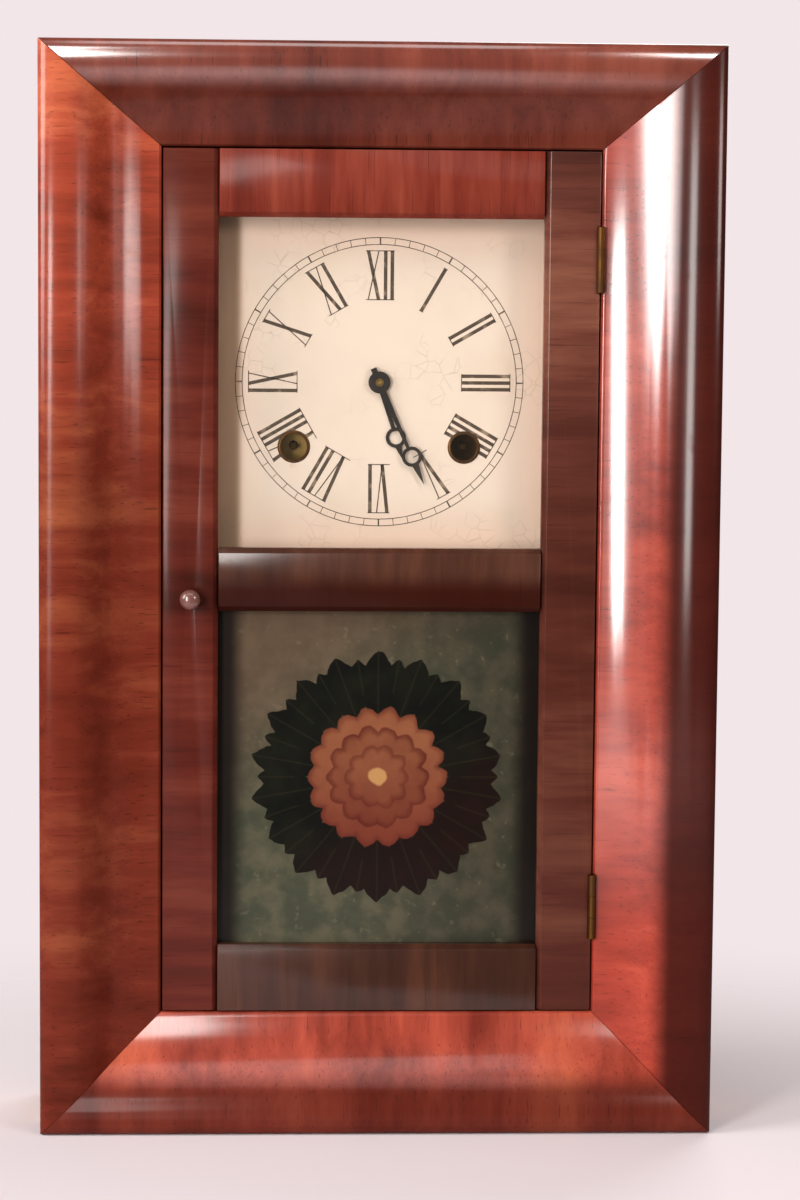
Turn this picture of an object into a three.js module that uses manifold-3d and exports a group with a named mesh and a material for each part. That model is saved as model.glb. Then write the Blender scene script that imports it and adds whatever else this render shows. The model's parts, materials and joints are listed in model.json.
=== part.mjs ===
// Ogee shelf clock: a weight-driven striking clock in a mitred ogee case.
// Millimetres. X runs to the right, +Z up, and the dial faces -Y.
// The origin is the middle of the case's foot print.
import * as THREE from "three";
import { mergeVertices } from "three/addons/utils/BufferGeometryUtils.js";
import Module from "manifold-3d";

const wasm = await Module();
wasm.setup();

// Clearances
const seatGap = 0.3; // between pieces that bear on each other
const runGap = 0.25; // round a shaft that turns in a hole
const cutOverrun = 2; // how far a cutter passes the face that it opens

// Case
const caseWidth = 394;
const caseHeight = 635;
const caseDepth = 114;
const boardThickness = 12;
const backboardThickness = 6;

// Ogee moulding: how wide it is across the front, and how far each part stands off its back
const mouldWidth = 70;
const topMouldWidth = 60;
const crestHeight = 36;
const lipHeight = 18;
const crestTop = 14; // from the outer edge to the highest line
const coveShare = 0.62; // of the run from crest to lip
const lipFlat = 3;
const crestRound = 7;
const lipRound = 1.5;

// Door
const doorThickness = 18;
const doorReveal = 1;
const stileWidth = 32;
const endRailWidth = 39;
const middleRailWidth = 37;
const upperPaneHeight = 191;
const glassThickness = 2;
const glassSetback = 9; // door front to glass front
const rebateWidth = 6;
const openingBevel = 3;

// Butt hinges
const hingeHeight = 38;
const hingeInset = 62; // door end to the middle of a hinge
const leafThickness = 1;
const leafDepth = 13;
const barrelRadius = 2.4;
const barrelProud = 1.5; // barrel axis in front of the door
const knuckleCount = 3;
const hingePinShare = 0.5; // of the barrel's radius

// Knob and turn latch
const knobRadius = 6;
const knobLength = 12;
const knobDrop = 11; // below the middle of the middle rail
const knobNeckRadius = 3.4;
const spindleRadius = 2;
const tongueLength = 23;
const tongueWidth = 8;
const tongueThickness = 1.5;
const latchNotchDepth = 4;

// Weight channel boards, which also stop the door and carry the dial
const channelBoardThickness = 12;
const cordChannelGap = 3; // channel board's top to the cord that passes over it
const dialLedge = 6;

// Dial
const dialSide = 211;
const dialThickness = 1.2;
const dialRecess = 10; // door back to dial front
const windingHoleRadius = 8;
const dialHubHoleRadius = 6;

// Hands
const handThickness = 0.8;
const minuteHandLength = 66;
const hourHandLength = 47;
const handArmWidth = 2.8;
const handRingRadius = 6;
const handRingWall = 2;
const handHubRadius = 6.5;
const handTailLength = 9;
const handRingShare = 0.72; // of the hand's length, out to the ring's middle
const handRootShare = 1.3; // of half the arm's width: at the root, at the ring and at the point's base
const handNeckShare = 0.7;
const handPointShare = 1.5;
const minuteHandAngle = 156; // degrees clockwise from twelve
const hourHandAngle = 163;

// Movement plates
const plateThickness = 1.2;
const plateSpace = 28; // between the two plates
const plateHalfWidth = 64;
const plateTop = 78; // above the hub
const plateFoot = 75; // below the hub
const plateCorner = 6;
const strapWidth = 9;
const pillarRadius = 3;
const pillarInset = 7;
const pillarWaistShare = 0.7; // of the pillar's radius
const cleatDepth = 11; // wood blocks behind the back plate
const cleatWidth = 10;
const windowCorner = 3;

// Arbor centres that are set by hand; the hub is 0, 0
const windingX = 50;
const windingDrop = 38;
const escapeRise = 38;
const vergeRise = 27; // verge arbor above the escape wheel's arbor
const hammerX = 14;
const hammerDrop = 50;

// Gearing: tooth counts and modules
const greatTeeth = 30;
const secondPinionTeeth = 10;
const greatModule = 1.65;
const secondTeeth = 30;
const centrePinionTeeth = 15;
const secondModule = 1.44;
const centreTeeth = 54;
const thirdPinionTeeth = 6;
const thirdTeeth = 48;
const escapePinionTeeth = 6;
const trainModule = 0.8;
const escapeTeeth = 42;
const cannonTeeth = 8;
const minuteWheelTeeth = 24;
const cannonModule = 1;
const minutePinionTeeth = 8;
const hourTeeth = 32;
const hourModule = 0.8;
const pinWheelTeeth = 36;
const pinWheelModule = 1;
const warningPinionTeeth = 6;
const warningTeeth = 36;
const flyPinionTeeth = 6;
const countTeeth = 36;
const countPinionTeeth = 6;

// Wheels, between the plates: distance from the front plate to the front of each one
const drumSetback = 4;
const drumLength = 13;
const drumRadius = 12;
const drumFlangeRadius = 16;
const drumFlangeThickness = 1.2;
const ratchetRadius = 13;
const ratchetThickness = 1.6;
const ratchetTeeth = 16;
const ratchetToothDepth = 1.8;
const ratchetGulletShare = 0.12; // of the pitch, from a tip to the gullet behind it
const greatSetback = 19.2;
const greatThickness = 2;
const secondSetback = 24;
const centreSetback = 12;
const thirdSetback = 5.2;
const escapeSetback = 16;
const warningSetback = 7.2;
const flySetback = 13;
const flyLength = 9;
const wheelThickness = 1.5;
const pinionOverlap = 0.8; // how far a pinion reaches past its wheel on each side
const arborRadius = 1.3;
const pivotProud = 1.5; // how far a pivot stands out of its plate
const windingArborRadius = 2.4;
const windingSquareLength = 12;
const windingSquareWidth = 3.2;
const wheelRim = 2.6;
const wheelArmWidth = 2.6;
const wheelHubRadius = 4.5;
const escapeRadius = 17;
const escapeToothDepth = 2.6;
const escapeGulletShare = 0.3; // of the pitch, from a tip to the gullet behind it
const pinCircleRadius = 14;
const liftingPinRadius = 0.8;
const liftingPinLength = 2.2;
const pinCount = 13;
const flyHalfSpan = 11;
const flyVaneThickness = 0.8;
const clickLength = 11;
const clickThickness = 1.4;
const clickClearance = 0.5;
const clickPivotRadius = 1.2;
const countThickness = 1.4;
const strikingBlows = 78; // in twelve hours
const lockingRadius = 21;
const lockingSlotDepth = 4;
const lockingSlotWidth = 1;
const countSetback = 3; // front plate to the count wheel
const motionSetback = 2; // front plate to the hour wheel
const motionThickness = 1.4;
const motionStep = 2.2; // hour wheel to minute wheel
const hourPipeRadius = 3.6;
const cannonPipeRadius = 2.2;
const studRadius = 1.35;
const minuteWheelAngle = 300; // degrees, where the minute wheel sits round the hub

// Escapement and pendulum
const palletThickness = 2.2;
const palletClearance = 1.7;
const crutchLength = 34;
const crutchWireRadius = 0.9;
const bobFloorGap = 116.5; // bob to the bottom board
const rodRadius = 1;
const bobRadius = 24;
const bobThickness = 8;
const bobRimThickness = 2;
const nutLength = 5; // rating nut under the bob
const nutRadius = 2.2;
const suspensionWidth = 5;
const cockWidth = 10;
const cockThickness = 3;

// Strike hammer and gong
const hammerRadius = 6;
const hammerLength = 14;
const hammerDropToHead = 100;
const hammerWireRadius = 1;
const hammerTailLength = 24;
const gongTurns = 3;
const gongOuterRadius = 50;
const gongInnerRadius = 15;
const gongWireRadius = 1.7;
const gongSteps = 24; // for each turn
const gongX = 37;
const gongDrop = 152; // hub to the middle of the gong
const gongBaseWidth = 22;
const gongBaseHeight = 40;
const gongBaseThickness = 9;
const gongPostRadius = 5;
const gongClearance = 2.2; // hammer to gong

// Weights, pulleys and cords
const cordRadius = 0.9;
const cordSides = 8;
const cordPitch = 2.6;
const cordTurns = 1.25; // laid on the drum at rest
const cordDrumSteps = 18;
const cordPulleySteps = 8;
const pulleyRadius = 14; // to the middle of the cord
const pulleyRim = 2.6;
const pulleyWidth = 8;
const pulleyRimShare = 0.7; // of half the pulley's width, where the groove starts
const pulleyAxleRadius = 1.6;
const pulleyDrop = 19; // top board to the pulley's axle
const earWidth = 18;
const earThickness = 6;
const weightSideGap = 10.6; // weight to the channel's boards
const weightThickness = 38;
const weightLength = 150;
const weightTaper = 3;
const weightCorner = 5;
const hookLength = 20;
const hookWireRadius = 1.8;
const hookEyeRadius = 5;

// Numbers of straight sides round curved forms
const roundSides = 20;
const barrelSides = 12;
const smallSides = 8;
const fewSides = 6;
const knobSides = 10;
const bobSides = 28;
const ringSides = 16;
const eyeSides = 12;
const curveSteps = 7;

// Places that several pieces share
const halfWidth = caseWidth / 2;
const halfDepth = caseDepth / 2;
const mouldBack = -halfDepth + crestHeight;
const doorBack = mouldBack;
const doorFront = doorBack - doorThickness;
const openingHalfWidth = halfWidth - mouldWidth;
const doorHalfWidth = openingHalfWidth - doorReveal;
const doorFoot = mouldWidth + doorReveal;
const doorTop = caseHeight - topMouldWidth - doorReveal;
const lowerPaneHeight = doorTop - doorFoot - endRailWidth * 2 - middleRailWidth - upperPaneHeight;
const paneHalfWidth = doorHalfWidth - stileWidth;
const lowerPaneFoot = doorFoot + endRailWidth;
const upperPaneFoot = lowerPaneFoot + lowerPaneHeight + middleRailWidth;
const hubHeight = upperPaneFoot + upperPaneHeight / 2;
const knobX = -doorHalfWidth + stileWidth / 2;
const knobZ = upperPaneFoot - middleRailWidth / 2 - knobDrop;
const backboardFront = halfDepth - backboardThickness;
const channelInner = dialSide / 2 + seatGap;
const channelOuter = channelInner + channelBoardThickness;
const dialFront = doorBack + dialRecess;
const dialBack = dialFront + dialThickness;
const backPlateBack = backboardFront - cleatDepth - seatGap;
const backPlateFront = backPlateBack - plateThickness;
const frontPlateBack = backPlateFront - plateSpace;
const frontPlateFront = frontPlateBack - plateThickness;
const cordPlane = frontPlateBack + drumSetback + drumLength / 2;
const weightX = (channelOuter + halfWidth - boardThickness) / 2;
const weightWidth = halfWidth - boardThickness - channelOuter - weightSideGap * 2;
const pulleyX = weightX - pulleyRadius;
const pulleyZ = caseHeight - boardThickness - pulleyDrop;
const pulleyCentre = [pulleyX, pulleyZ - hubHeight];
const pendulumLength = hubHeight + escapeRise + vergeRise - boardThickness - bobFloorGap - bobRadius;

// The weight cord's straight run, from the drum's rim to the pulley's; its lean is square to the run
const cordDrumRadius = drumRadius + cordRadius + seatGap;
const cordSpan = Math.hypot(pulleyCentre[0] - windingX, pulleyCentre[1] + windingDrop);
const cordLean =
  Math.atan2(pulleyCentre[1] + windingDrop, pulleyCentre[0] - windingX) +
  Math.acos((cordDrumRadius - pulleyRadius) / cordSpan);
const cordStart = [
  windingX + cordDrumRadius * Math.cos(cordLean),
  hubHeight - windingDrop + cordDrumRadius * Math.sin(cordLean),
];
const cordHeightAtBoard = cordStart[1] - (channelInner - dialLedge - cordStart[0]) / Math.tan(cordLean);
const channelBoardTop = cordHeightAtBoard - (cordRadius + cordChannelGap) / Math.sin(cordLean);

// Materials
function finish(colour, roughness, metalness) {
  return new THREE.MeshStandardMaterial({ color: colour, roughness, metalness });
}
const mahogany = finish(0x7e3a2b, 0.28, 0);
const pine = finish(0x9a744c, 0.75, 0);
const paintedZinc = finish(0xf0e0cc, 0.55, 0.1);
const clearGlass = finish(0xe4e8e4, 0.08, 0);
const tabletPaint = finish(0x4c4a38, 0.4, 0);
const brass = finish(0xb08d45, 0.4, 0.95);
const steel = finish(0x70706e, 0.4, 0.95);
const blackIron = finish(0x24211f, 0.6, 0.6);
const castIron = finish(0x2c2a29, 0.75, 0.4);
const paleKnob = finish(0xd8b4ae, 0.25, 0);
const cordFibre = finish(0xb9a686, 0.9, 0);

const clock = new THREE.Group();
const movement = new THREE.Group();
movement.position.set(0, 0, hubHeight);
clock.add(movement);

// Adds one named piece to a group.
function place(group, name, shape, material) {
  const mesh = new THREE.Mesh(shape.isBufferGeometry ? shape : geometryOf(shape), material);
  mesh.name = name;
  group.add(mesh);
}

// A closed geometry as a solid that can be joined and cut.
function solid(geometry) {
  const bare = new THREE.BufferGeometry().setAttribute("position", geometry.getAttribute("position"));
  if (geometry.index) bare.setIndex(geometry.index);
  const merged = mergeVertices(bare, 1e-4);
  return new wasm.Manifold(
    new wasm.Mesh({
      numProp: 3,
      vertProperties: merged.attributes.position.array,
      triVerts: new Uint32Array(merged.index.array),
    }),
  );
}

// A solid as a geometry again.
function geometryOf(made) {
  const mesh = made.getMesh();
  const geometry = new THREE.BufferGeometry();
  geometry.setAttribute("position", new THREE.BufferAttribute(mesh.vertProperties, 3));
  geometry.setIndex(new THREE.BufferAttribute(mesh.triVerts, 1));
  geometry.computeVertexNormals();
  return geometry;
}

function joined(...pieces) {
  return pieces.map((p) => (p.isBufferGeometry ? solid(p) : p)).reduce((a, b) => a.add(b));
}

function cut(body, ...cutters) {
  return cutters.reduce(
    (a, b) => a.subtract(b.isBufferGeometry ? solid(b) : b),
    body.isBufferGeometry ? solid(body) : body,
  );
}

function outlineShape(points, holes = []) {
  const shape = new THREE.Shape(points.map(([u, v]) => new THREE.Vector2(u, v)));
  shape.holes = holes.map((h) => new THREE.Path(h.map(([u, v]) => new THREE.Vector2(u, v))));
  return shape;
}

function extruded(points, length, holes) {
  return new THREE.ExtrudeGeometry(outlineShape(points, holes), { depth: length, bevelEnabled: false });
}

// An outline seen from the front, given thickness from its back face forwards.
function slab(points, back, thickness, holes) {
  return extruded(points, thickness, holes).rotateX(Math.PI / 2).translate(0, back, 0);
}

// A section in X and Y, run upwards.
function uprightRun(points, low, high) {
  return extruded(points, high - low).translate(0, 0, low);
}

// A section in Y and Z, run to the right.
function levelRun(points, left, right) {
  const turn = new THREE.Matrix4().makeBasis(
    new THREE.Vector3(0, 1, 0),
    new THREE.Vector3(0, 0, 1),
    new THREE.Vector3(1, 0, 0),
  );
  return extruded(points, right - left).applyMatrix4(turn).translate(left, 0, 0);
}

function block(left, right, front, back, low, high) {
  const box = new THREE.BoxGeometry(right - left, back - front, high - low);
  return box.translate((left + right) / 2, (front + back) / 2, (low + high) / 2);
}

// A straight round bar along Y.
function bar(radius, front, back, x, z, sides = smallSides) {
  const rod = new THREE.CylinderGeometry(radius, radius, back - front, sides);
  return rod.translate(x, (front + back) / 2, z);
}

// A turned piece on an axis along Y: profile points are radius and Y, from front to back.
function turned(profile, x, z, sides = roundSides) {
  const points = profile.map(([r, y]) => new THREE.Vector2(r, y));
  return new THREE.LatheGeometry(points, sides).translate(x, 0, z);
}

function circle(radius, x, z, sides = smallSides) {
  const points = [];
  for (let i = 0; i < sides; i++) {
    const angle = (i * 2 * Math.PI) / sides;
    points.push([x + radius * Math.cos(angle), z + radius * Math.sin(angle)]);
  }
  return points;
}

// A hole that a turning shaft of the same number of sides clears.
function runningHole(radius, x, z) {
  return circle((radius + runGap) / Math.cos(Math.PI / smallSides), x, z);
}

// A square outline about the origin, counter-clockwise.
function square(half) {
  return [[-half, -half], [half, -half], [half, half], [-half, half]];
}

function roundedBox(left, right, low, high, corner) {
  const points = [];
  const corners = [
    [right - corner, high - corner, 0],
    [left + corner, high - corner, 1],
    [left + corner, low + corner, 2],
    [right - corner, low + corner, 3],
  ];
  for (const [x, z, quarter] of corners)
    for (const part of [0, 0.5, 1]) {
      const angle = ((quarter + part) * Math.PI) / 2;
      points.push([x + corner * Math.cos(angle), z + corner * Math.sin(angle)]);
    }
  return points;
}

function polar(radius, degrees, x = 0, z = 0) {
  const angle = (degrees * Math.PI) / 180;
  return [x + radius * Math.cos(angle), z + radius * Math.sin(angle)];
}

// Ogee section: distance in from the outer edge, and height off the back.
// The outer edge swells up to the crest. From there a tight arc and a broad hollow one, tangent
// where they meet, run down to the lip.
function ogeeSection() {
  const points = [[0, 0]];
  for (let i = 0; i < curveSteps; i++) {
    const angle = Math.PI * (1 - i / curveSteps / 2);
    points.push([
      crestTop + crestTop * Math.cos(angle),
      crestHeight - crestRound + crestRound * Math.sin(angle),
    ]);
  }
  const run = mouldWidth - crestTop - lipFlat;
  const sweep = Math.atan((crestHeight - lipHeight) / run) * 2;
  const crestRadius = (run * (1 - coveShare)) / Math.sin(sweep);
  const coveRadius = (run * coveShare) / Math.sin(sweep);
  for (let i = 0; i <= curveSteps; i++) {
    const angle = (i / curveSteps) * sweep;
    points.push([
      crestTop + crestRadius * Math.sin(angle),
      crestHeight - crestRadius + crestRadius * Math.cos(angle),
    ]);
  }
  for (let i = curveSteps - 1; i >= 0; i--) {
    const angle = (i / curveSteps) * sweep;
    points.push([
      mouldWidth - lipFlat - coveRadius * Math.sin(angle),
      lipHeight + coveRadius - coveRadius * Math.cos(angle),
    ]);
  }
  points.push([mouldWidth - lipRound, lipHeight], [mouldWidth, lipHeight - lipRound], [mouldWidth, 0]);
  return points;
}

// Cuts both ends of a run to its mitres: each end vertex moves in
// by a share of its distance from the outer edge.
function mitred(geometry, along, low, high, inset, highShare = 1, lowShare = 1) {
  const ends = geometry.getAttribute("position");
  const index = { x: 0, z: 2 }[along];
  for (let i = 0; i < ends.count; i++) {
    const v = [ends.getX(i), ends.getY(i), ends.getZ(i)];
    const isLow = Math.abs(v[index] - low) < Math.abs(v[index] - high);
    const shift = inset(v) * (isLow ? lowShare : highShare) + seatGap / 2;
    v[index] = isLow ? low + shift : high - shift;
    ends.setXYZ(i, ...v);
  }
  return geometry;
}

// The top member is narrower than the rest, so its section is drawn in and its mitres are less steep.
const topShare = topMouldWidth / mouldWidth;

function ogeeUpright(side) {
  const points = ogeeSection().map(([u, h]) => [side * (halfWidth - u), mouldBack - h]);
  const run = uprightRun(points, 0, caseHeight);
  return mitred(run, "z", 0, caseHeight, (v) => halfWidth - Math.abs(v[0]), topShare);
}

function ogeeBottom() {
  const points = ogeeSection().map(([u, h]) => [mouldBack - h, u]);
  return mitred(levelRun(points, -halfWidth, halfWidth), "x", -halfWidth, halfWidth, (v) => v[2]);
}

function ogeeTop() {
  const points = ogeeSection().map(([u, h]) => [mouldBack - h, caseHeight - u * topShare]);
  const run = levelRun(points, -halfWidth, halfWidth);
  return mitred(run, "x", -halfWidth, halfWidth, (v) => caseHeight - v[2], 1 / topShare, 1 / topShare);
}

// Hinges stand in the gap between the door and the right-hand ogee, let into both.
const hingeX = openingHalfWidth - doorReveal / 2;
const hingeY = doorFront - barrelProud;
const hingeHeights = { lower: doorFoot + hingeInset, upper: doorTop - hingeInset };
const leafBack = doorFront + leafDepth;

function hingeRecess(z) {
  const low = z - hingeHeight / 2 - seatGap;
  const high = z + hingeHeight / 2 + seatGap;
  const barrel = new THREE.CylinderGeometry(
    barrelRadius + seatGap * 2, barrelRadius + seatGap * 2, high - low, barrelSides,
  ).rotateX(Math.PI / 2).translate(hingeX, hingeY, z);
  const half = doorReveal / 2 + leafThickness + seatGap;
  const slot = block(hingeX - half, hingeX + half, doorFront - cutOverrun, leafBack + seatGap, low, high);
  return joined(slot, barrel);
}

function hingeLeaf(z, ofCase) {
  const side = ofCase ? 1 : -1;
  const face = hingeX + (side * doorReveal) / 2;
  const outer = face + side * leafThickness;
  const low = z - hingeHeight / 2;
  const step = hingeHeight / knuckleCount;
  const sides = [Math.min(face, outer), Math.max(face, outer)];
  let leaf = solid(block(...sides, hingeY, leafBack, low, low + hingeHeight));
  for (let i = 0; i < knuckleCount; i++) {
    const own = (i % 2 === 0) === ofCase;
    const knuckleLow = low + i * step;
    const round = new THREE.CylinderGeometry(barrelRadius, barrelRadius, step - seatGap, barrelSides)
      .rotateX(Math.PI / 2)
      .translate(hingeX, hingeY, knuckleLow + step / 2);
    const clear = barrelRadius + seatGap;
    const [left, front] = [hingeX - clear, hingeY - clear];
    const room = block(left, hingeX + clear, front, hingeY + clear, knuckleLow, knuckleLow + step);
    leaf = own ? leaf.add(solid(round)) : leaf.subtract(solid(room));
  }
  const pinRadius = barrelRadius * hingePinShare;
  const pin = new THREE.CylinderGeometry(pinRadius, pinRadius, hingeHeight - seatGap, smallSides)
    .rotateX(Math.PI / 2)
    .translate(hingeX, hingeY, z);
  const pinHoleRadius = (pinRadius + runGap) / Math.cos(Math.PI / smallSides);
  const pinHoleLength = hingeHeight + cutOverrun;
  const pinHole = new THREE.CylinderGeometry(pinHoleRadius, pinHoleRadius, pinHoleLength, smallSides)
    .rotateX(Math.PI / 2)
    .translate(hingeX, hingeY, z);
  return ofCase ? leaf.add(solid(pin)) : leaf.subtract(solid(pinHole));
}

const hingeRecesses = Object.values(hingeHeights).map(hingeRecess);
place(clock, "ogee_left", ogeeUpright(-1), mahogany);
place(clock, "ogee_right", cut(ogeeUpright(1), ...hingeRecesses), mahogany);
place(clock, "ogee_top", ogeeTop(), mahogany);
place(clock, "ogee_bottom", ogeeBottom(), mahogany);
for (const [name, z] of Object.entries(hingeHeights)) {
  place(clock, name + "_hinge_case_leaf", hingeLeaf(z, true), brass);
  place(clock, name + "_hinge_door_leaf", hingeLeaf(z, false), brass);
}

// Case boards behind the ogee frame
const boardFront = mouldBack + seatGap;
const boardBack = backboardFront - seatGap;
const boardInner = halfWidth - boardThickness;
place(clock, "case_left_board", block(-halfWidth, -boardInner, boardFront, boardBack, 0, caseHeight), pine);
place(clock, "case_right_board", block(boardInner, halfWidth, boardFront, boardBack, 0, caseHeight), pine);
place(
  clock,
  "case_bottom_board",
  block(-boardInner + seatGap, boardInner - seatGap, boardFront, boardBack, 0, boardThickness),
  pine,
);

// The top board carries two pairs of ears, and a pulley turns between each pair.
function pulleyEars(side) {
  const x = side * pulleyX;
  const inner = pulleyWidth / 2 + seatGap;
  const pieces = [-1, 1].map((end) => {
    const near = cordPlane + end * inner;
    const far = near + end * earThickness;
    return block(
      x - earWidth / 2, x + earWidth / 2, Math.min(near, far), Math.max(near, far),
      pulleyZ - earWidth / 2, caseHeight - boardThickness + cutOverrun,
    );
  });
  const holeRadius = (pulleyAxleRadius + runGap) / Math.cos(Math.PI / smallSides);
  const reach = inner + earThickness + cutOverrun;
  return cut(joined(...pieces), bar(holeRadius, cordPlane - reach, cordPlane + reach, x, pulleyZ));
}
const topBoard = block(
  -boardInner + seatGap, boardInner - seatGap, boardFront, boardBack, caseHeight - boardThickness, caseHeight,
);
place(clock, "case_top_board", joined(topBoard, pulleyEars(-1), pulleyEars(1)), pine);

// The backboard has an upright cleat behind each side of the movement.
function movementCleat(side) {
  const inner = plateHalfWidth - cleatWidth;
  const [left, right] = side < 0 ? [-plateHalfWidth, -inner] : [inner, plateHalfWidth];
  return block(
    left, right, backboardFront - cleatDepth, backboardFront + cutOverrun,
    hubHeight - plateFoot, hubHeight + plateTop,
  );
}
const backPanel = block(-halfWidth, halfWidth, backboardFront, halfDepth, 0, caseHeight);
place(clock, "backboard", joined(backPanel, movementCleat(-1), movementCleat(1)), pine);

// Channel boards: rebated along the front so that the dial lies on a ledge
function channelSection(side) {
  return [
    [channelInner, doorBack + seatGap],
    [channelOuter, doorBack + seatGap],
    [channelOuter, boardBack],
    [channelInner - dialLedge, boardBack],
    [channelInner - dialLedge, dialBack + seatGap],
    [channelInner, dialBack + seatGap],
  ].map(([x, y]) => [side * x, y]);
}
const channelFoot = boardThickness + seatGap;
const latchNotch = block(
  -channelOuter - cutOverrun, -channelInner + cutOverrun, doorBack - cutOverrun, doorBack + latchNotchDepth,
  knobZ - tongueLength - tongueWidth / 2, knobZ + tongueWidth,
);
place(
  clock,
  "left_channel_board",
  cut(uprightRun(channelSection(-1), channelFoot, channelBoardTop), latchNotch),
  pine,
);
place(clock, "right_channel_board", uprightRun(channelSection(1), channelFoot, channelBoardTop), pine);

// Door sections: inwards across the member from its outer edge, then back from the front.
// The opening side has a bevel in front and a rebate for the glass behind.
function doorSection(width) {
  return [
    [0, 0],
    [width - openingBevel, 0],
    [width, openingBevel],
    [width, glassSetback],
    [width - rebateWidth, glassSetback],
    [width - rebateWidth, doorThickness],
    [0, doorThickness],
  ];
}

function doorStile(side) {
  const points = doorSection(stileWidth).map(([u, d]) => [side * (doorHalfWidth - u), doorFront + d]);
  return uprightRun(points, doorFoot, doorTop);
}

// A rail runs between the stiles, and its back fills their rebates as the tenon does.
function doorRail(section) {
  const front = levelRun(section, -paneHalfWidth + seatGap, paneHalfWidth - seatGap);
  const rebated = paneHalfWidth + rebateWidth - seatGap;
  const back = block(
    -rebated, rebated, doorFront + glassSetback + seatGap, doorBack,
    Math.min(...section.map(([, z]) => z)) - cutOverrun, Math.max(...section.map(([, z]) => z)) + cutOverrun,
  );
  const behind = levelRun(section, -rebated, rebated);
  return solid(front).add(solid(behind).intersect(solid(back)));
}
const topRailSection = doorSection(endRailWidth).map(([u, d]) => [doorFront + d, doorTop - u]);
const bottomRailSection = doorSection(endRailWidth).map(([u, d]) => [doorFront + d, doorFoot + u]);
const middleRailMid = upperPaneFoot - middleRailWidth / 2;
const halfRail = doorSection(middleRailWidth / 2).slice(1, -1);
const middleRailSection = [
  ...halfRail.map(([u, d]) => [doorFront + d, middleRailMid + u]),
  ...halfRail.map(([u, d]) => [doorFront + d, middleRailMid - u]).reverse(),
];

const spindleHole = bar(
  (spindleRadius + runGap) / Math.cos(Math.PI / smallSides),
  doorFront - cutOverrun, doorBack + cutOverrun, knobX, knobZ,
);
place(clock, "door_left_stile", cut(doorStile(-1), spindleHole), mahogany);
place(clock, "door_right_stile", cut(doorStile(1), ...hingeRecesses), mahogany);
place(clock, "door_top_rail", doorRail(topRailSection), mahogany);
place(clock, "door_middle_rail", doorRail(middleRailSection), mahogany);
place(clock, "door_bottom_rail", doorRail(bottomRailSection), mahogany);

function pane(foot, height) {
  const reach = rebateWidth - seatGap;
  const front = doorFront + glassSetback + seatGap;
  return block(
    -paneHalfWidth - reach, paneHalfWidth + reach, front, front + glassThickness,
    foot - reach, foot + height + reach,
  );
}
place(clock, "dial_glass", pane(upperPaneFoot, upperPaneHeight), clearGlass);
place(clock, "tablet_glass", pane(lowerPaneFoot, lowerPaneHeight), tabletPaint);

// Knob on its spindle, with the turn latch riveted on behind the stile
const knobBase = doorFront - seatGap;
const knobFrontShares = [[0, 1], [0.6, 0.95], [1, 0.65], [0.9, 0.4]]; // of its radius, and of its length
const knobNeckShares = [[1, 0.2], [1.3, 0]]; // of its neck's radius, and of its length
const knobProfile = [
  ...knobFrontShares.map(([r, along]) => [knobRadius * r, knobBase - knobLength * along]),
  ...knobNeckShares.map(([r, along]) => [knobNeckRadius * r, knobBase - knobLength * along]),
  [spindleRadius, knobBase],
  [spindleRadius, doorBack + seatGap],
  [0, doorBack + seatGap],
];
place(clock, "door_knob", turned(knobProfile, knobX, knobZ, knobSides), paleKnob);
const tongueBack = doorBack + seatGap * 2 + tongueThickness;
const tongueRootAngles = [0, 45, 90, 135, 180];
const tongueTipAngles = [210, 270, 330];
const tongueTipZ = knobZ - tongueLength + tongueWidth;
const tongueOutline = [
  ...tongueRootAngles.map((degrees) => polar(tongueWidth / 2, degrees, knobX, knobZ)),
  ...tongueTipAngles.map((degrees) => polar(tongueWidth / 3, degrees, knobX, tongueTipZ)),
];
place(clock, "latch_tongue", slab(tongueOutline, tongueBack, tongueThickness), brass);

// Dial: a painted plate with two winding holes and the hub hole
const dialHalf = dialSide / 2;
place(
  movement,
  "dial_plate",
  slab(square(dialHalf), dialBack, dialThickness, [
    circle(dialHubHoleRadius, 0, 0, roundSides),
    circle(windingHoleRadius, -windingX, -windingDrop, roundSides),
    circle(windingHoleRadius, windingX, -windingDrop, roundSides),
  ]),
  paintedZinc,
);

// Arbor places in the plane of the dial, from the pitch radii of the wheels that mesh
function pitchRadius(teeth, module) {
  return (teeth * module) / 2;
}

// The point at given distances from two others, on the left of the line from the first to the second.
function meeting([ax, az], fromA, [bx, bz], fromB) {
  const span = Math.hypot(bx - ax, bz - az);
  const along = (fromA * fromA - fromB * fromB + span * span) / (2 * span);
  const across = Math.sqrt(fromA * fromA - along * along);
  const [ux, uz] = [(bx - ax) / span, (bz - az) / span];
  return [ax + along * ux - across * uz, az + along * uz + across * ux];
}

function bearing([ax, az], [bx, bz]) {
  return Math.atan2(bz - az, bx - ax);
}

// The turn of a wheel that puts its teeth in the gaps of the wheel that drives it.
function meshTurn(driver, driverTeeth, driverTurn, centre, teeth) {
  const line = bearing(driver, centre);
  return line + Math.PI - ((driverTurn - line) * driverTeeth) / teeth - Math.PI / teeth;
}

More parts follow.
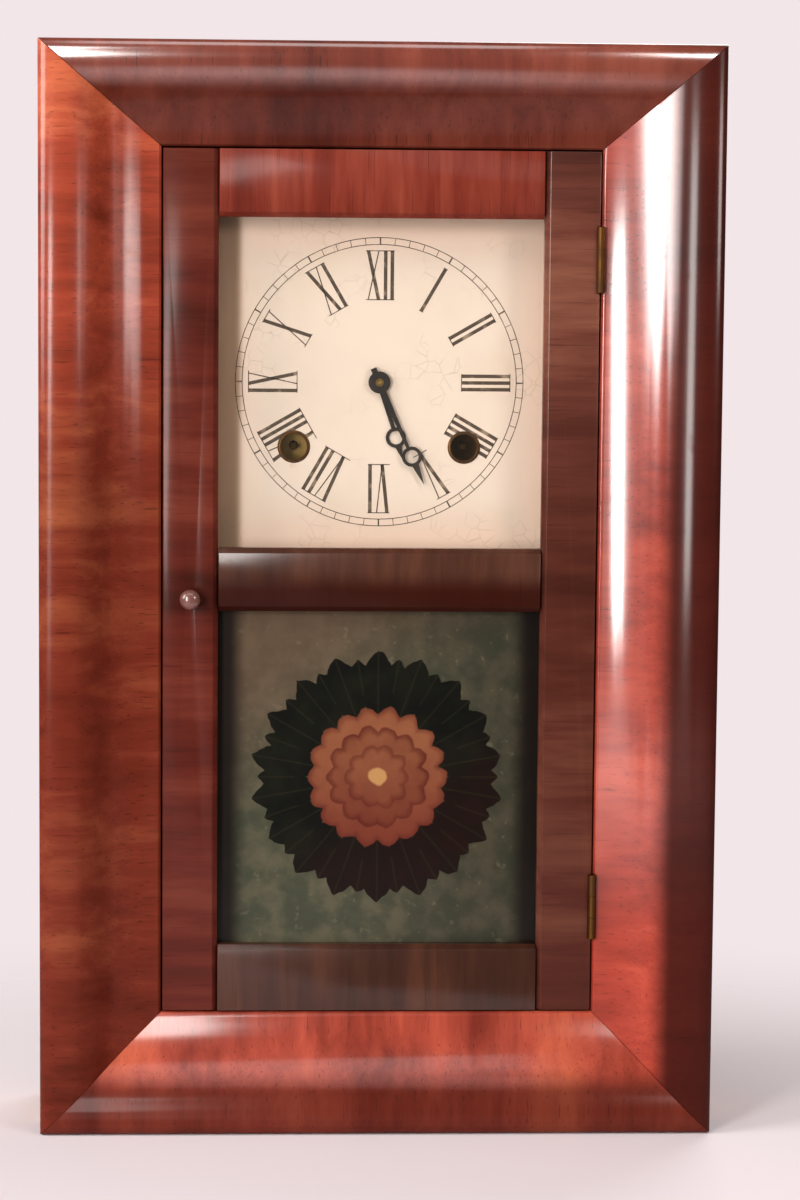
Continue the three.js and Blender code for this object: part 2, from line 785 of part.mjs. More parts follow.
const mirror = ([x, z]) => [-x, z];
const hub = [0, 0];
const greatReach = pitchRadius(greatTeeth + secondPinionTeeth, greatModule);
const secondReach = pitchRadius(secondTeeth + centrePinionTeeth, secondModule);
const thirdReach = pitchRadius(centreTeeth + thirdPinionTeeth, trainModule);
const escapeReach = pitchRadius(thirdTeeth + escapePinionTeeth, trainModule);
const warningReach = pitchRadius(pinWheelTeeth + warningPinionTeeth, pinWheelModule);
const flyReach = pitchRadius(warningTeeth + flyPinionTeeth, trainModule);
const motionReach = pitchRadius(cannonTeeth + minuteWheelTeeth, cannonModule);
const timeGreat = [windingX, -windingDrop];
const strikeGreat = mirror(timeGreat);
const second = meeting(hub, secondReach, timeGreat, greatReach);
const pinArbor = mirror(second);
const escape = [0, escapeRise];
const third = meeting(hub, thirdReach, escape, escapeReach);
const warning = polar(warningReach, 112, ...pinArbor);
const fly = polar(flyReach, 100, ...warning);
const minuteArbor = polar(motionReach, minuteWheelAngle, 0, 0);
const verge = [0, escapeRise + vergeRise];
const hammerArbor = [-hammerX, -hammerDrop];

// How far the teeth stand out and reach in, as shares of the module,
// and how wide they are, as shares of the pitch
const addendumShare = 0.75;
const dedendumShare = 1.05;
const toothTipShare = 0.1;
const toothRootShare = 0.25;
const fineModule = 0.9; // teeth finer than this come to a point

function gearOutline(teeth, module, turn, [x, z] = hub) {
  const radius = pitchRadius(teeth, module);
  const pitch = (2 * Math.PI) / teeth;
  const tip = radius + module * addendumShare;
  const root = radius - module * dedendumShare;
  const points = [];
  const tips = module < fineModule ? [[tip, 0]] : [[tip, -toothTipShare], [tip, toothTipShare]];
  for (let i = 0; i < teeth; i++)
    for (const [r, share] of [[root, -toothRootShare], ...tips, [root, toothRootShare]]) {
      const angle = turn + (i + share) * pitch;
      points.push([x + r * Math.cos(angle), z + r * Math.sin(angle)]);
    }
  return points;
}

// The windows between a wheel's arms, from its hub out to its rim.
function crossings(arms, hubRadius, rimRadius, armWidth, [x, z] = hub) {
  const windows = [];
  for (let i = 0; i < arms; i++) {
    const middle = ((i + 0.5) * 2 * Math.PI) / arms;
    const spread = (r) => Math.PI / arms - armWidth / 2 / r;
    const points = [-1, 0, 1].map((share) => {
      const angle = middle + share * spread(rimRadius);
      return [x + rimRadius * Math.cos(angle), z + rimRadius * Math.sin(angle)];
    });
    for (const share of [1, -1]) {
      const angle = middle + share * spread(hubRadius);
      points.push([x + hubRadius * Math.cos(angle), z + hubRadius * Math.sin(angle)]);
    }
    windows.push(points);
  }
  return windows;
}

// Distance behind the front plate as a Y value
const behind = (setback) => frontPlateBack + setback;

function wheel(teeth, module, turn, setback, thickness, centre, { arms = 4, bore = 0 } = {}) {
  const root = pitchRadius(teeth, module) - module * dedendumShare;
  const holes = crossings(arms, wheelHubRadius, root - wheelRim, wheelArmWidth, centre);
  if (bore) holes.push(runningHole(bore, ...centre));
  const front = behind(setback);
  return slab(gearOutline(teeth, module, turn, centre), front + thickness, thickness, holes);
}

// A pinion that reaches past both faces of the wheel that it meets.
function pinion(teeth, module, turn, setback, thickness, centre) {
  const length = thickness + pinionOverlap * 2;
  return slab(gearOutline(teeth, module, turn, centre), behind(setback - pinionOverlap) + length, length);
}

// An arbor with a pivot in each plate: Y from just outside the front plate to just outside the back plate
function arbor([x, z], radius = arborRadius, front = frontPlateFront - pivotProud) {
  return bar(radius, front, backPlateBack + pivotProud, x, z);
}

// Going train, each wheel's teeth turned into the gaps of the one before
const greatTurn = 0;
const secondPinionTurn = meshTurn(timeGreat, greatTeeth, greatTurn, second, secondPinionTeeth);
const secondTurn = secondPinionTurn;
const centrePinionTurn = meshTurn(second, secondTeeth, secondTurn, hub, centrePinionTeeth);
const centreTurn = centrePinionTurn;
const thirdPinionTurn = meshTurn(hub, centreTeeth, centreTurn, third, thirdPinionTeeth);
const thirdTurn = thirdPinionTurn;
const escapePinionTurn = meshTurn(third, thirdTeeth, thirdTurn, escape, escapePinionTeeth);

function greatWheel(centre, turn) {
  const bore = windingArborRadius;
  return wheel(greatTeeth, greatModule, turn, greatSetback, greatThickness, centre, { bore });
}

// Winding arbor: square, drum with its front flange, and the ratchet wheel that closes the drum's back
function windingDrum([x, z], direction) {
  const drumFront = behind(drumSetback);
  const drumBack = drumFront + drumLength;
  const squareHalf = windingSquareWidth / 2;
  const flange = bar(drumFlangeRadius, drumFront - drumFlangeThickness, drumFront, x, z, roundSides);
  const barrel = bar(drumRadius, drumFront, drumBack, x, z, roundSides);
  const teeth = [];
  const pitch = (2 * Math.PI) / ratchetTeeth;
  for (let i = 0; i < ratchetTeeth; i++)
    for (const [r, share] of [[ratchetRadius, 0], [ratchetRadius - ratchetToothDepth, ratchetGulletShare]]) {
      const angle = direction * (i + share) * pitch;
      teeth.push([x + r * Math.cos(angle), z + r * Math.sin(angle)]);
    }
  const ratchet = slab(teeth, drumBack + ratchetThickness, ratchetThickness);
  const squareFront = frontPlateFront - windingSquareLength;
  const square = block(
    x - squareHalf, x + squareHalf, squareFront, frontPlateFront - pivotProud, z - squareHalf, z + squareHalf,
  );
  return joined(arbor([x, z], windingArborRadius), flange, barrel, ratchet, square);
}

// The click is pivoted on the great wheel's front face and lies round the ratchet's rim.
const clickPivotReach = ratchetRadius + clickClearance + clickPivotRadius * 2;
function click([x, z], direction) {
  const back = behind(greatSetback) - seatGap;
  const front = back - clickThickness;
  const pivotAngle = 90;
  const sweep = (direction * clickLength * 180) / (Math.PI * clickPivotReach);
  const inner = ratchetRadius + clickClearance;
  const points = [
    polar(clickPivotReach + clickPivotRadius * 2, pivotAngle, x, z),
    polar(clickPivotReach + clickPivotRadius, pivotAngle - direction * 10, x, z),
    polar(inner + clickPivotRadius / 2, pivotAngle - direction * 8, x, z),
    polar(inner + clickPivotRadius / 2, pivotAngle, x, z),
    polar(inner, pivotAngle + sweep, x, z),
    polar(inner + clickPivotRadius, pivotAngle + sweep, x, z),
    polar(clickPivotReach + clickPivotRadius, pivotAngle + sweep / 2, x, z),
  ];
  return slab(points, back, clickThickness);
}

place(movement, "time_great_wheel", greatWheel(timeGreat, greatTurn), brass);
place(movement, "time_drum", windingDrum(timeGreat, 1), brass);
place(movement, "time_click", click(timeGreat, 1), steel);
place(
  movement,
  "second_wheel",
  joined(
    arbor(second),
    pinion(secondPinionTeeth, greatModule, secondPinionTurn, greatSetback, greatThickness, second),
    wheel(secondTeeth, secondModule, secondTurn, secondSetback, wheelThickness, second),
    bar(wheelHubRadius, behind(secondSetback), behind(secondSetback) + wheelThickness, ...second),
  ),
  brass,
);
const cannonFront = dialFront - handThickness * 3;
place(
  movement,
  "centre_wheel",
  joined(
    arbor(hub, arborRadius, cannonFront - seatGap * 2),
    pinion(centrePinionTeeth, secondModule, centrePinionTurn, secondSetback, wheelThickness, hub),
    wheel(centreTeeth, trainModule, centreTurn, centreSetback, wheelThickness, hub),
  ),
  brass,
);
place(
  movement,
  "third_wheel",
  joined(
    arbor(third),
    pinion(thirdPinionTeeth, trainModule, thirdPinionTurn, centreSetback, wheelThickness, third),
    wheel(thirdTeeth, trainModule, thirdTurn, thirdSetback, wheelThickness, third),
  ),
  brass,
);

// Escape wheel: sharp teeth that lean forwards
function escapeOutline() {
  const points = [];
  const pitch = (2 * Math.PI) / escapeTeeth;
  for (let i = 0; i < escapeTeeth; i++)
    for (const [r, share] of [[escapeRadius, 0], [escapeRadius - escapeToothDepth, escapeGulletShare]])
      points.push([
        escape[0] + r * Math.cos((i + share) * pitch),
        escape[1] + r * Math.sin((i + share) * pitch),
      ]);
  return points;
}
const escapeFront = behind(escapeSetback);
const escapeWindows = crossings(
  4, wheelHubRadius, escapeRadius - escapeToothDepth - wheelRim, wheelArmWidth, escape,
);
place(
  movement,
  "escape_wheel",
  joined(
    arbor(escape),
    pinion(escapePinionTeeth, trainModule, escapePinionTurn, thirdSetback, wheelThickness, escape),
    slab(escapeOutline(), escapeFront + wheelThickness, wheelThickness, escapeWindows),
  ),
  brass,
);

// Verge: a bent strip over the escape wheel, on an arbor that carries the crutch behind the back plate
function vergeStrip() {
  const outer = [];
  const inner = [];
  const reach = vergeRise - escapeRadius;
  const landing = escapeRadius + palletClearance;
  for (const degrees of [38, 52, 72, 90, 108, 128, 142]) {
    const lift = Math.max(0, 1 - Math.abs(degrees - 90) / 45) * (reach - palletClearance);
    inner.push(polar(landing + lift, degrees, ...escape));
    outer.push(polar(landing + lift + palletThickness, degrees, ...escape));
  }
  return slab([...inner, ...outer.reverse()], escapeFront + wheelThickness, wheelThickness);
}
const crutchY = backPlateBack + pivotProud + crutchWireRadius;
const vergeArbor = bar(
  arborRadius, frontPlateFront - pivotProud, crutchY + crutchWireRadius, ...verge,
);
const rodY = (backPlateBack + backboardFront) / 2 + bobRimThickness / 2;
const forkReach = crutchWireRadius + rodRadius + seatGap;
const crutchStem = block(
  -crutchWireRadius, crutchWireRadius, crutchY - crutchWireRadius, crutchY + crutchWireRadius,
  verge[1] - crutchLength, verge[1],
);
const forkProngs = [-1, 1].map((side) =>
  block(
    side * forkReach - crutchWireRadius / 2, side * forkReach + crutchWireRadius / 2,
    crutchY - crutchWireRadius, rodY + rodRadius,
    verge[1] - crutchLength, verge[1] - crutchLength + crutchWireRadius * 2,
  ),
);
const forkBridge = block(
  -forkReach - crutchWireRadius / 2, forkReach + crutchWireRadius / 2,
  crutchY - crutchWireRadius, crutchY + crutchWireRadius / 2,
  verge[1] - crutchLength, verge[1] - crutchLength + crutchWireRadius * 2,
);
place(
  movement,
  "verge",
  joined(vergeStrip(), vergeArbor, crutchStem, forkBridge, ...forkProngs),
  steel,
);

// Pendulum: hung level with the verge from a cock on the back plate
const cockBack = rodY + cockThickness / 2;
const cockFoot = verge[1] + seatGap;
const cockTop = cockFoot + cockWidth;
const suspensionCock = block(
  -cockWidth / 2, cockWidth / 2,
  backPlateBack - plateThickness / 2, cockBack,
  cockFoot + cockThickness, cockTop,
);
const bobFoot = verge[1] - pendulumLength - bobRadius;
place(
  movement,
  "pendulum_rod",
  joined(
    bar(rodRadius, rodY - rodRadius, rodY + rodRadius, 0, verge[1] + rodRadius * 2),
    block(
      -suspensionWidth / 2, suspensionWidth / 2, rodY - rodRadius / 2, rodY + rodRadius / 2,
      verge[1] - crutchLength / 2, cockFoot + cockThickness - seatGap,
    ),
    new THREE.CylinderGeometry(rodRadius, rodRadius, pendulumLength + bobRadius + nutLength, smallSides)
      .rotateX(Math.PI / 2)
      .translate(0, rodY, verge[1] - (pendulumLength + bobRadius + nutLength) / 2),
    new THREE.CylinderGeometry(nutRadius, nutRadius, nutLength, smallSides)
      .rotateX(Math.PI / 2)
      .translate(0, rodY, bobFoot - nutLength / 2 - seatGap),
  ),
  steel,
);
const bobHalf = bobThickness / 2;
// Shares of the bob's radius and of half its thickness.
const bobShares = [[0, 1], [0.5, 0.85], [0.8, 0.55], [1, bobRimThickness / bobThickness]];
const bobProfile = [
  ...bobShares.map(([r, out]) => [bobRadius * r, rodY - bobHalf * out]),
  ...bobShares.map(([r, out]) => [bobRadius * r, rodY + bobHalf * out]).reverse(),
];
const bobHoleRadius = rodRadius + seatGap;
const bobHoleLength = bobRadius * 2 + cutOverrun;
const bobHole = new THREE.CylinderGeometry(bobHoleRadius, bobHoleRadius, bobHoleLength, smallSides)
  .rotateX(Math.PI / 2)
  .translate(0, rodY, verge[1] - pendulumLength);
const bobLens = turned(bobProfile, 0, verge[1] - pendulumLength, bobSides);
place(movement, "pendulum_bob", cut(bobLens, bobHole), brass);

// Striking train, laid out as a mirror of the going train's first wheels
const strikeGreatTurn = 0;
const pinPinionTurn = meshTurn(strikeGreat, greatTeeth, strikeGreatTurn, pinArbor, secondPinionTeeth);
const pinTurn = pinPinionTurn;
const warningPinionTurn = meshTurn(pinArbor, pinWheelTeeth, pinTurn, warning, warningPinionTeeth);
const warningTurn = warningPinionTurn;
const flyPinionTurn = meshTurn(warning, warningTeeth, warningTurn, fly, flyPinionTeeth);
const countPinionTurn = pinPinionTurn;
const countModule = (2 * greatReach) / (countTeeth + countPinionTeeth);
const countTurn = meshTurn(pinArbor, countPinionTeeth, countPinionTurn, strikeGreat, countTeeth);
const countBack = frontPlateFront - countSetback;

place(movement, "strike_great_wheel", greatWheel(strikeGreat, strikeGreatTurn), brass);
place(movement, "strike_drum", windingDrum(strikeGreat, -1), brass);
place(movement, "strike_click", click(strikeGreat, -1), steel);

// Pin wheel: its pins lift the hammer, and its front pinion turns the count wheel
const liftingPins = [];
const pinFront = behind(secondSetback) - liftingPinLength;
for (let i = 0; i < pinCount; i++)
  liftingPins.push(bar(
    liftingPinRadius, pinFront, behind(secondSetback) + wheelThickness / 2,
    ...polar(pinCircleRadius, (i * 360) / pinCount, ...pinArbor), fewSides,
  ));
const countPinionLength = countThickness + pinionOverlap * 2;
place(
  movement,
  "pin_wheel",
  joined(
    arbor(pinArbor, arborRadius, countBack - countPinionLength),
    pinion(secondPinionTeeth, greatModule, pinPinionTurn, greatSetback, greatThickness, pinArbor),
    wheel(pinWheelTeeth, pinWheelModule, pinTurn, secondSetback, wheelThickness, pinArbor, { arms: 0 }),
    slab(
      gearOutline(countPinionTeeth, countModule, countPinionTurn, pinArbor),
      countBack + pinionOverlap, countPinionLength,
    ),
    ...liftingPins,
  ),
  brass,
);
place(
  movement,
  "warning_wheel",
  joined(
    arbor(warning),
    pinion(warningPinionTeeth, pinWheelModule, warningPinionTurn, secondSetback, wheelThickness, warning),
    wheel(warningTeeth, trainModule, warningTurn, warningSetback, wheelThickness, warning),
  ),
  brass,
);
const flyFront = behind(flySetback);
place(
  movement,
  "fly",
  joined(
    arbor(fly),
    pinion(flyPinionTeeth, trainModule, flyPinionTurn, warningSetback, wheelThickness, fly),
    block(
      fly[0] - flyHalfSpan, fly[0] + flyHalfSpan, flyFront, flyFront + flyLength,
      fly[1] - flyVaneThickness / 2, fly[1] + flyVaneThickness / 2,
    ),
  ),
  brass,
);

// Count wheel: toothed rim, with a locking plate whose slots stand one more blow apart each hour
function lockingPlate([x, z]) {
  const points = [];
  let count = 0;
  for (let hour = 1; hour <= 12; hour++) {
    const slot = (count / strikingBlows) * 2 * Math.PI;
    const halfSlot = lockingSlotWidth / 2 / lockingRadius;
    for (const [r, offset] of [
      [lockingRadius, -halfSlot],
      [lockingRadius - lockingSlotDepth, -halfSlot],
      [lockingRadius - lockingSlotDepth, halfSlot],
      [lockingRadius, halfSlot],
    ])
      points.push([x + r * Math.cos(slot + offset), z + r * Math.sin(slot + offset)]);
    const arcSteps = Math.max(1, Math.round(hour / 2));
    const next = ((count + hour) / strikingBlows) * 2 * Math.PI - halfSlot;
    for (let i = 1; i < arcSteps; i++) {
      const angle = slot + halfSlot + (i / arcSteps) * (next - slot - halfSlot);
      points.push([x + lockingRadius * Math.cos(angle), z + lockingRadius * Math.sin(angle)]);
    }
    count += hour;
  }
  return slab(points, countBack - countThickness + seatGap, countThickness);
}
const countBore = bar(
  (windingArborRadius + runGap) / Math.cos(Math.PI / smallSides),
  countBack - countThickness * 2 - cutOverrun, countBack + cutOverrun, ...strikeGreat,
);
const countRim = slab(
  gearOutline(countTeeth, countModule, countTurn, strikeGreat), countBack, countThickness,
);
const squareRoom = bar(
  windingSquareWidth,
  countBack - countThickness * 2 - cutOverrun,
  countBack - countThickness / 2,
  ...strikeGreat,
);
const countWheel = joined(countRim, lockingPlate(strikeGreat));
place(movement, "count_wheel", cut(countWheel, countBore, squareRoom), brass);

// Motion work in front of the front plate, and the hands on its pipes
const motionBack = frontPlateFront - motionSetback;
const handAngle = (degrees) => Math.PI / 2 - (degrees * Math.PI) / 180;
const cannonTurn = 0;
const minuteWheelTurn = meshTurn(hub, cannonTeeth, cannonTurn, minuteArbor, minuteWheelTeeth);
const minutePinionTurn = 0;
const hourTurn = meshTurn(minuteArbor, minutePinionTeeth, minutePinionTurn, hub, hourTeeth);
const minuteBack = motionBack - motionStep;
const cannonBack = minuteBack + pinionOverlap;
const minuteHandBack = dialFront - handThickness * 2 - seatGap * 2;
const hourHandBack = dialFront - seatGap;
const cannonBore = bar(
  (arborRadius + runGap) / Math.cos(Math.PI / smallSides),
  minuteHandBack - handThickness - cutOverrun, cannonBack + cutOverrun, ...hub,
);
place(
  movement,
  "cannon_pinion",
  cut(
    joined(
      bar(cannonPipeRadius, minuteHandBack - handThickness - seatGap, cannonBack, ...hub, roundSides),
      slab(
        gearOutline(cannonTeeth, cannonModule, cannonTurn),
        cannonBack,
        motionThickness + pinionOverlap * 2,
      ),
    ),
    cannonBore,
  ),
  brass,
);
const hourBack = cannonBack - motionThickness - pinionOverlap * 2 - seatGap;
const minuteStud = bar(
  studRadius, hourBack - motionThickness * 2, frontPlateFront + plateThickness / 2, ...minuteArbor,
);
const minuteWheelBack = cannonBack - pinionOverlap;
place(
  movement,
  "minute_wheel",
  joined(
    slab(
      gearOutline(minuteWheelTeeth, cannonModule, minuteWheelTurn, minuteArbor),
      minuteWheelBack, motionThickness, [runningHole(studRadius, ...minuteArbor)],
    ),
    slab(
      gearOutline(minutePinionTeeth, hourModule, minutePinionTurn, minuteArbor),
      minuteWheelBack - motionThickness / 2, minuteWheelBack - hourBack + motionThickness * 1.5,
      [runningHole(studRadius, ...minuteArbor)],
    ),
  ),
  brass,
);
const hourPipe = bar(hourPipeRadius, hourHandBack - handThickness - seatGap, hourBack, ...hub, roundSides);
const hourBore = bar(
  cannonPipeRadius + runGap * 2,
  hourHandBack - handThickness - seatGap - cutOverrun,
  hourBack + cutOverrun,
  ...hub,
  roundSides,
);
const hourRim = slab(gearOutline(hourTeeth, hourModule, hourTurn), hourBack, motionThickness);
place(movement, "hour_wheel", cut(joined(hourRim, hourPipe), hourBore), brass);

// A hand: hub ring, tapered arm, pierced ring towards the end and a fine point
function hand(length, back, boreRadius, degrees, tail) {
  const turn = handAngle(degrees);
  const ringCentre = length * handRingShare;
  const turnPoint = ([u, v]) => [
    u * Math.cos(turn) - v * Math.sin(turn),
    u * Math.sin(turn) + v * Math.cos(turn),
  ];
  const flat = (points, holes = []) =>
    slab(points.map(turnPoint), back, handThickness, holes.map((h) => h.map(turnPoint)));
  const armHalf = handArmWidth / 2;
  const arm = [
    [-tail, -armHalf * handRootShare],
    [ringCentre - handRingRadius + handRingWall / 2, -armHalf * handNeckShare],
    [ringCentre - handRingRadius + handRingWall / 2, armHalf * handNeckShare],
    [-tail, armHalf * handRootShare],
  ];
  const point = [
    [ringCentre + handRingRadius - handRingWall / 2, -armHalf * handPointShare],
    [length, 0],
    [ringCentre + handRingRadius - handRingWall / 2, armHalf * handPointShare],
  ];
  const ring = flat(
    circle(handRingRadius, ringCentre, 0, ringSides),
    [circle(handRingRadius - handRingWall, ringCentre, 0, ringSides)],
  );
  const body = joined(flat(arm), flat(point), ring, flat(circle(handHubRadius, 0, 0, ringSides)));
  return cut(body, bar(boreRadius, back - handThickness - cutOverrun, back + cutOverrun, ...hub, roundSides));
}
const hourHand = hand(hourHandLength, hourHandBack, hourPipeRadius + seatGap, hourHandAngle, 0);
place(movement, "hour_hand", hourHand, blackIron);
place(
  movement,
  "minute_hand",
  hand(minuteHandLength, minuteHandBack, cannonPipeRadius + seatGap, minuteHandAngle, handTailLength),
  blackIron,
);

// Plates: windows between the straps, and a pivot hole for every arbor
const plainArbors = [second, third, escape, verge, pinArbor, warning, fly, hammerArbor];
function plateOutline() {
  return roundedBox(-plateHalfWidth, plateHalfWidth, -plateFoot, plateTop, plateCorner);
}
function plateHoles(hubRadius) {
  const arm = strapWidth;
  const lowTop = second[1] - arm;
  const lowFoot = -plateFoot + arm;
  const highFoot = second[1] + arm;
  const highTop = plateTop - arm * 1.5;
  return [
    roundedBox(arm / 2, windingX - arm, lowFoot, lowTop, windowCorner),
    roundedBox(-windingX + arm, -hammerX - arm / 2, lowFoot, lowTop, windowCorner),
    roundedBox(arm * 1.3, plateHalfWidth - arm, highFoot, highTop, windowCorner),
    roundedBox(-plateHalfWidth + arm, -arm * 1.3, fly[1] + arm, highTop, windowCorner),
    ...plainArbors.map((a) => runningHole(arborRadius, ...a)),
    runningHole(hubRadius, ...hub),
    runningHole(windingArborRadius, ...timeGreat),
    runningHole(windingArborRadius, ...strikeGreat),
  ];
}
const frontPlate = slab(plateOutline(), frontPlateBack, plateThickness, plateHoles(arborRadius));
place(movement, "movement_front_plate", joined(frontPlate, minuteStud), brass);

// The back plate carries four riveted pillars that the front plate sits on, and the pendulum's cock.
const pillars = [];
for (const x of [-1, 1])
  for (const z of [-plateFoot + pillarInset, plateTop - pillarInset]) {
    const centreX = x * (plateHalfWidth - pillarInset);
    pillars.push(turned(
      [
        [0, frontPlateBack + seatGap],
        [pillarRadius, frontPlateBack + seatGap],
            [pillarRadius * pillarWaistShare, frontPlateBack + plateSpace / 2],
        [pillarRadius, backPlateFront + plateThickness / 2],
        [0, backPlateFront + plateThickness / 2],
      ],
      centreX, z, smallSides,
    ));
  }
const backPlate = slab(plateOutline(), backPlateBack, plateThickness, plateHoles(arborRadius));
place(movement, "movement_back_plate", joined(backPlate, suspensionCock, ...pillars), brass);

// Hammer: arbor, tail towards the lifting pins, and a wire down to the head
const gongY = cordPlane + drumLength / 2;
const headX = gongX - gongOuterRadius - gongWireRadius - gongClearance - hammerLength / 2;
const headZ = hammerArbor[1] - hammerDropToHead;
function wireBetween([ax, ay, az], [bx, by, bz], radius, sides = smallSides) {
  const from = new THREE.Vector3(ax, ay, az);
  const to = new THREE.Vector3(bx, by, bz);
  const run = new THREE.CylinderGeometry(radius, radius, from.distanceTo(to), sides);
  const turn = new THREE.Quaternion().setFromUnitVectors(
    new THREE.Vector3(0, 1, 0), to.clone().sub(from).normalize(),
  );
  return run.applyQuaternion(turn).translate((ax + bx) / 2, (ay + by) / 2, (az + bz) / 2);
}
const head = new THREE.CylinderGeometry(hammerRadius, hammerRadius, hammerLength, roundSides)
  .rotateZ(Math.PI / 2)
  .translate(headX, gongY, headZ);
const tailEnd = polar(hammerTailLength, 108, ...hammerArbor);
const tailY = behind(secondSetback) - liftingPinLength / 2;
place(
  movement,
  "strike_hammer",
  joined(
    arbor(hammerArbor),
    wireBetween([hammerArbor[0], gongY, hammerArbor[1]], [headX, gongY, headZ], hammerWireRadius),
    wireBetween([hammerArbor[0], tailY, hammerArbor[1]], [tailEnd[0], tailY, tailEnd[1]], hammerWireRadius),
    head,
  ),
  steel,
);

// Gong: a flat spiral of square-ended wire that winds out from a post on its cast base
const gongZ = -gongDrop;
function gongPoint(share) {
  const turns = share * gongTurns;
  const radius = gongInnerRadius + (gongOuterRadius - gongInnerRadius) * share;
  const angle = Math.PI - (gongTurns - turns) * 2 * Math.PI;
  return [gongX + radius * Math.cos(angle), gongZ + radius * Math.sin(angle)];
}

// One unbroken tube through a list of points, with a ring of sides at each.
class Route extends THREE.Curve {
  constructor(points) {
    super();
    this.stations = points.map((p) => new THREE.Vector3(...p));
  }
  getPoint(t) {
    const last = this.stations.length - 1;
    const index = Math.min(Math.floor(t * last), last - 1);
    return this.stations[index].clone().lerp(this.stations[index + 1], t * last - index);
  }
  getPointAt(t) {
    return this.getPoint(t);
  }
  getSpacedPoints(steps) {
    return this.getPoints(steps);
  }
  getTangentAt(t) {
    return this.getTangent(t);
  }
}
function tube(points, radius, sides) {
  const section = outlineShape(circle(radius, 0, 0, sides));
  return new THREE.ExtrudeGeometry(section, {
    steps: points.length - 1,
    extrudePath: new Route(points),
    bevelEnabled: false,
  });
}
const gongPoints = [];
const gongCount = Math.round(gongTurns * gongSteps);
for (let i = 0; i <= gongCount; i++) {
  const [x, z] = gongPoint(i / gongCount);
  gongPoints.push([x, gongY, z]);
}
const gongStart = gongPoint(0);
const postShare = (gongPostRadius + seatGap) / gongInnerRadius;
const gongRoot = [gongX + (gongStart[0] - gongX) * postShare, gongZ + (gongStart[1] - gongZ) * postShare];
place(
  movement,
  "gong_coil",
  joined(
    tube(gongPoints, gongWireRadius, fewSides),
    wireBetween(
      [gongStart[0], gongY, gongStart[1]],
      [gongRoot[0], gongY, gongRoot[1]],
      gongWireRadius, fewSides,
    ),
  ),
  steel,
);
const gongBaseBack = backboardFront - seatGap;
place(
  movement,
  "gong_base",
  joined(
    slab(
      roundedBox(
        gongX - gongBaseWidth / 2, gongX + gongBaseWidth / 2,
        gongZ - gongBaseHeight / 2, gongZ + gongBaseHeight / 2,
        windowCorner,
      ),
      gongBaseBack, gongBaseThickness,
    ),
    bar(
      gongPostRadius,
      gongY - gongPostRadius,
      gongBaseBack - gongBaseThickness / 2,
      gongX,
      gongZ,
      roundSides,
    ),
  ),
  castIron,
);

// Pulleys under the top board, weights in the side channels, and the cords between them and the drums
function pulley(side) {
  const x = side * pulleyX;
  const halfPulley = pulleyWidth / 2;
  const rim = pulleyRadius + pulleyRim;
  const groove = pulleyRadius - cordRadius - seatGap;
  const profile = [
    [0, cordPlane - halfPulley],
    [rim, cordPlane - halfPulley],
    [rim, cordPlane - halfPulley * pulleyRimShare],
    [groove, cordPlane - cordRadius],
    [groove, cordPlane + cordRadius],
    [rim, cordPlane + halfPulley * pulleyRimShare],
    [rim, cordPlane + halfPulley],
    [0, cordPlane + halfPulley],
  ];
  const axleHalf = halfPulley + seatGap + earThickness;
  const axle = bar(pulleyAxleRadius, cordPlane - axleHalf, cordPlane + axleHalf, x, pulleyZ);
  return joined(turned(profile, x, pulleyZ), axle);
}

// A cast block that narrows upwards, with a wire hook let into its top
const weightFoot = boardThickness + seatGap;
const weightTop = weightFoot + weightLength;
const hookTop = weightTop + hookLength;
function castWeight(side) {
  const x = side * weightX;
  const w = weightWidth / 2;
  const t = weightThickness / 2;
  const c = weightCorner;
  const outline = [
    [-w + c, -t], [w - c, -t], [w, -t + c], [w, t - c],
    [w - c, t], [-w + c, t], [-w, t - c], [-w, -t + c],
  ];
  const body = extruded(outline, weightLength);
  const corners = body.getAttribute("position");
  for (let i = 0; i < corners.count; i++) {
    const share = (corners.getZ(i) / weightLength) * (weightTaper / w);
    corners.setX(i, corners.getX(i) * (1 - share));
    corners.setY(i, corners.getY(i) * (1 - share));
  }
  body.translate(x, cordPlane, weightFoot);
  const stemLength = hookLength / 2 + cutOverrun;
  const stem = new THREE.CylinderGeometry(hookWireRadius, hookWireRadius, stemLength, smallSides)
    .rotateX(Math.PI / 2)
    .translate(x, cordPlane, weightTop + hookLength / 4 - cutOverrun / 2);
  const eye = new THREE.TorusGeometry(hookEyeRadius, hookWireRadius, fewSides, eyeSides)
    .rotateX(Math.PI / 2)
    .translate(x, cordPlane, hookTop - hookEyeRadius - hookWireRadius);
  return joined(body, stem, eye);
}

// Cord route seen from the front: round the drum, up the tangent to the pulley, and over it.
function cordRoute() {
  const [dx, dz] = timeGreat;
  const points = [];
  for (let i = 0; i <= cordDrumSteps; i++) {
    const left = 1 - i / cordDrumSteps;
    const angle = cordLean + left * cordTurns * 2 * Math.PI;
    points.push([
      dx + cordDrumRadius * Math.cos(angle),
      cordPlane + left * cordTurns * cordPitch,
      dz + cordDrumRadius * Math.sin(angle),
    ]);
  }
  for (let i = 0; i <= cordPulleySteps; i++) {
    const angle = cordLean * (1 - i / cordPulleySteps);
    points.push([
      pulleyCentre[0] + pulleyRadius * Math.cos(angle),
      cordPlane,
      pulleyCentre[1] + pulleyRadius * Math.sin(angle),
    ]);
  }
  return points;
}
const dropTop = pulleyZ - seatGap;
function cordDrop(side) {
  const run = new THREE.CylinderGeometry(cordRadius, cordRadius, dropTop - hookTop - seatGap, cordSides);
  return run.rotateX(Math.PI / 2).translate(side * weightX, cordPlane, (dropTop + hookTop + seatGap) / 2);
}

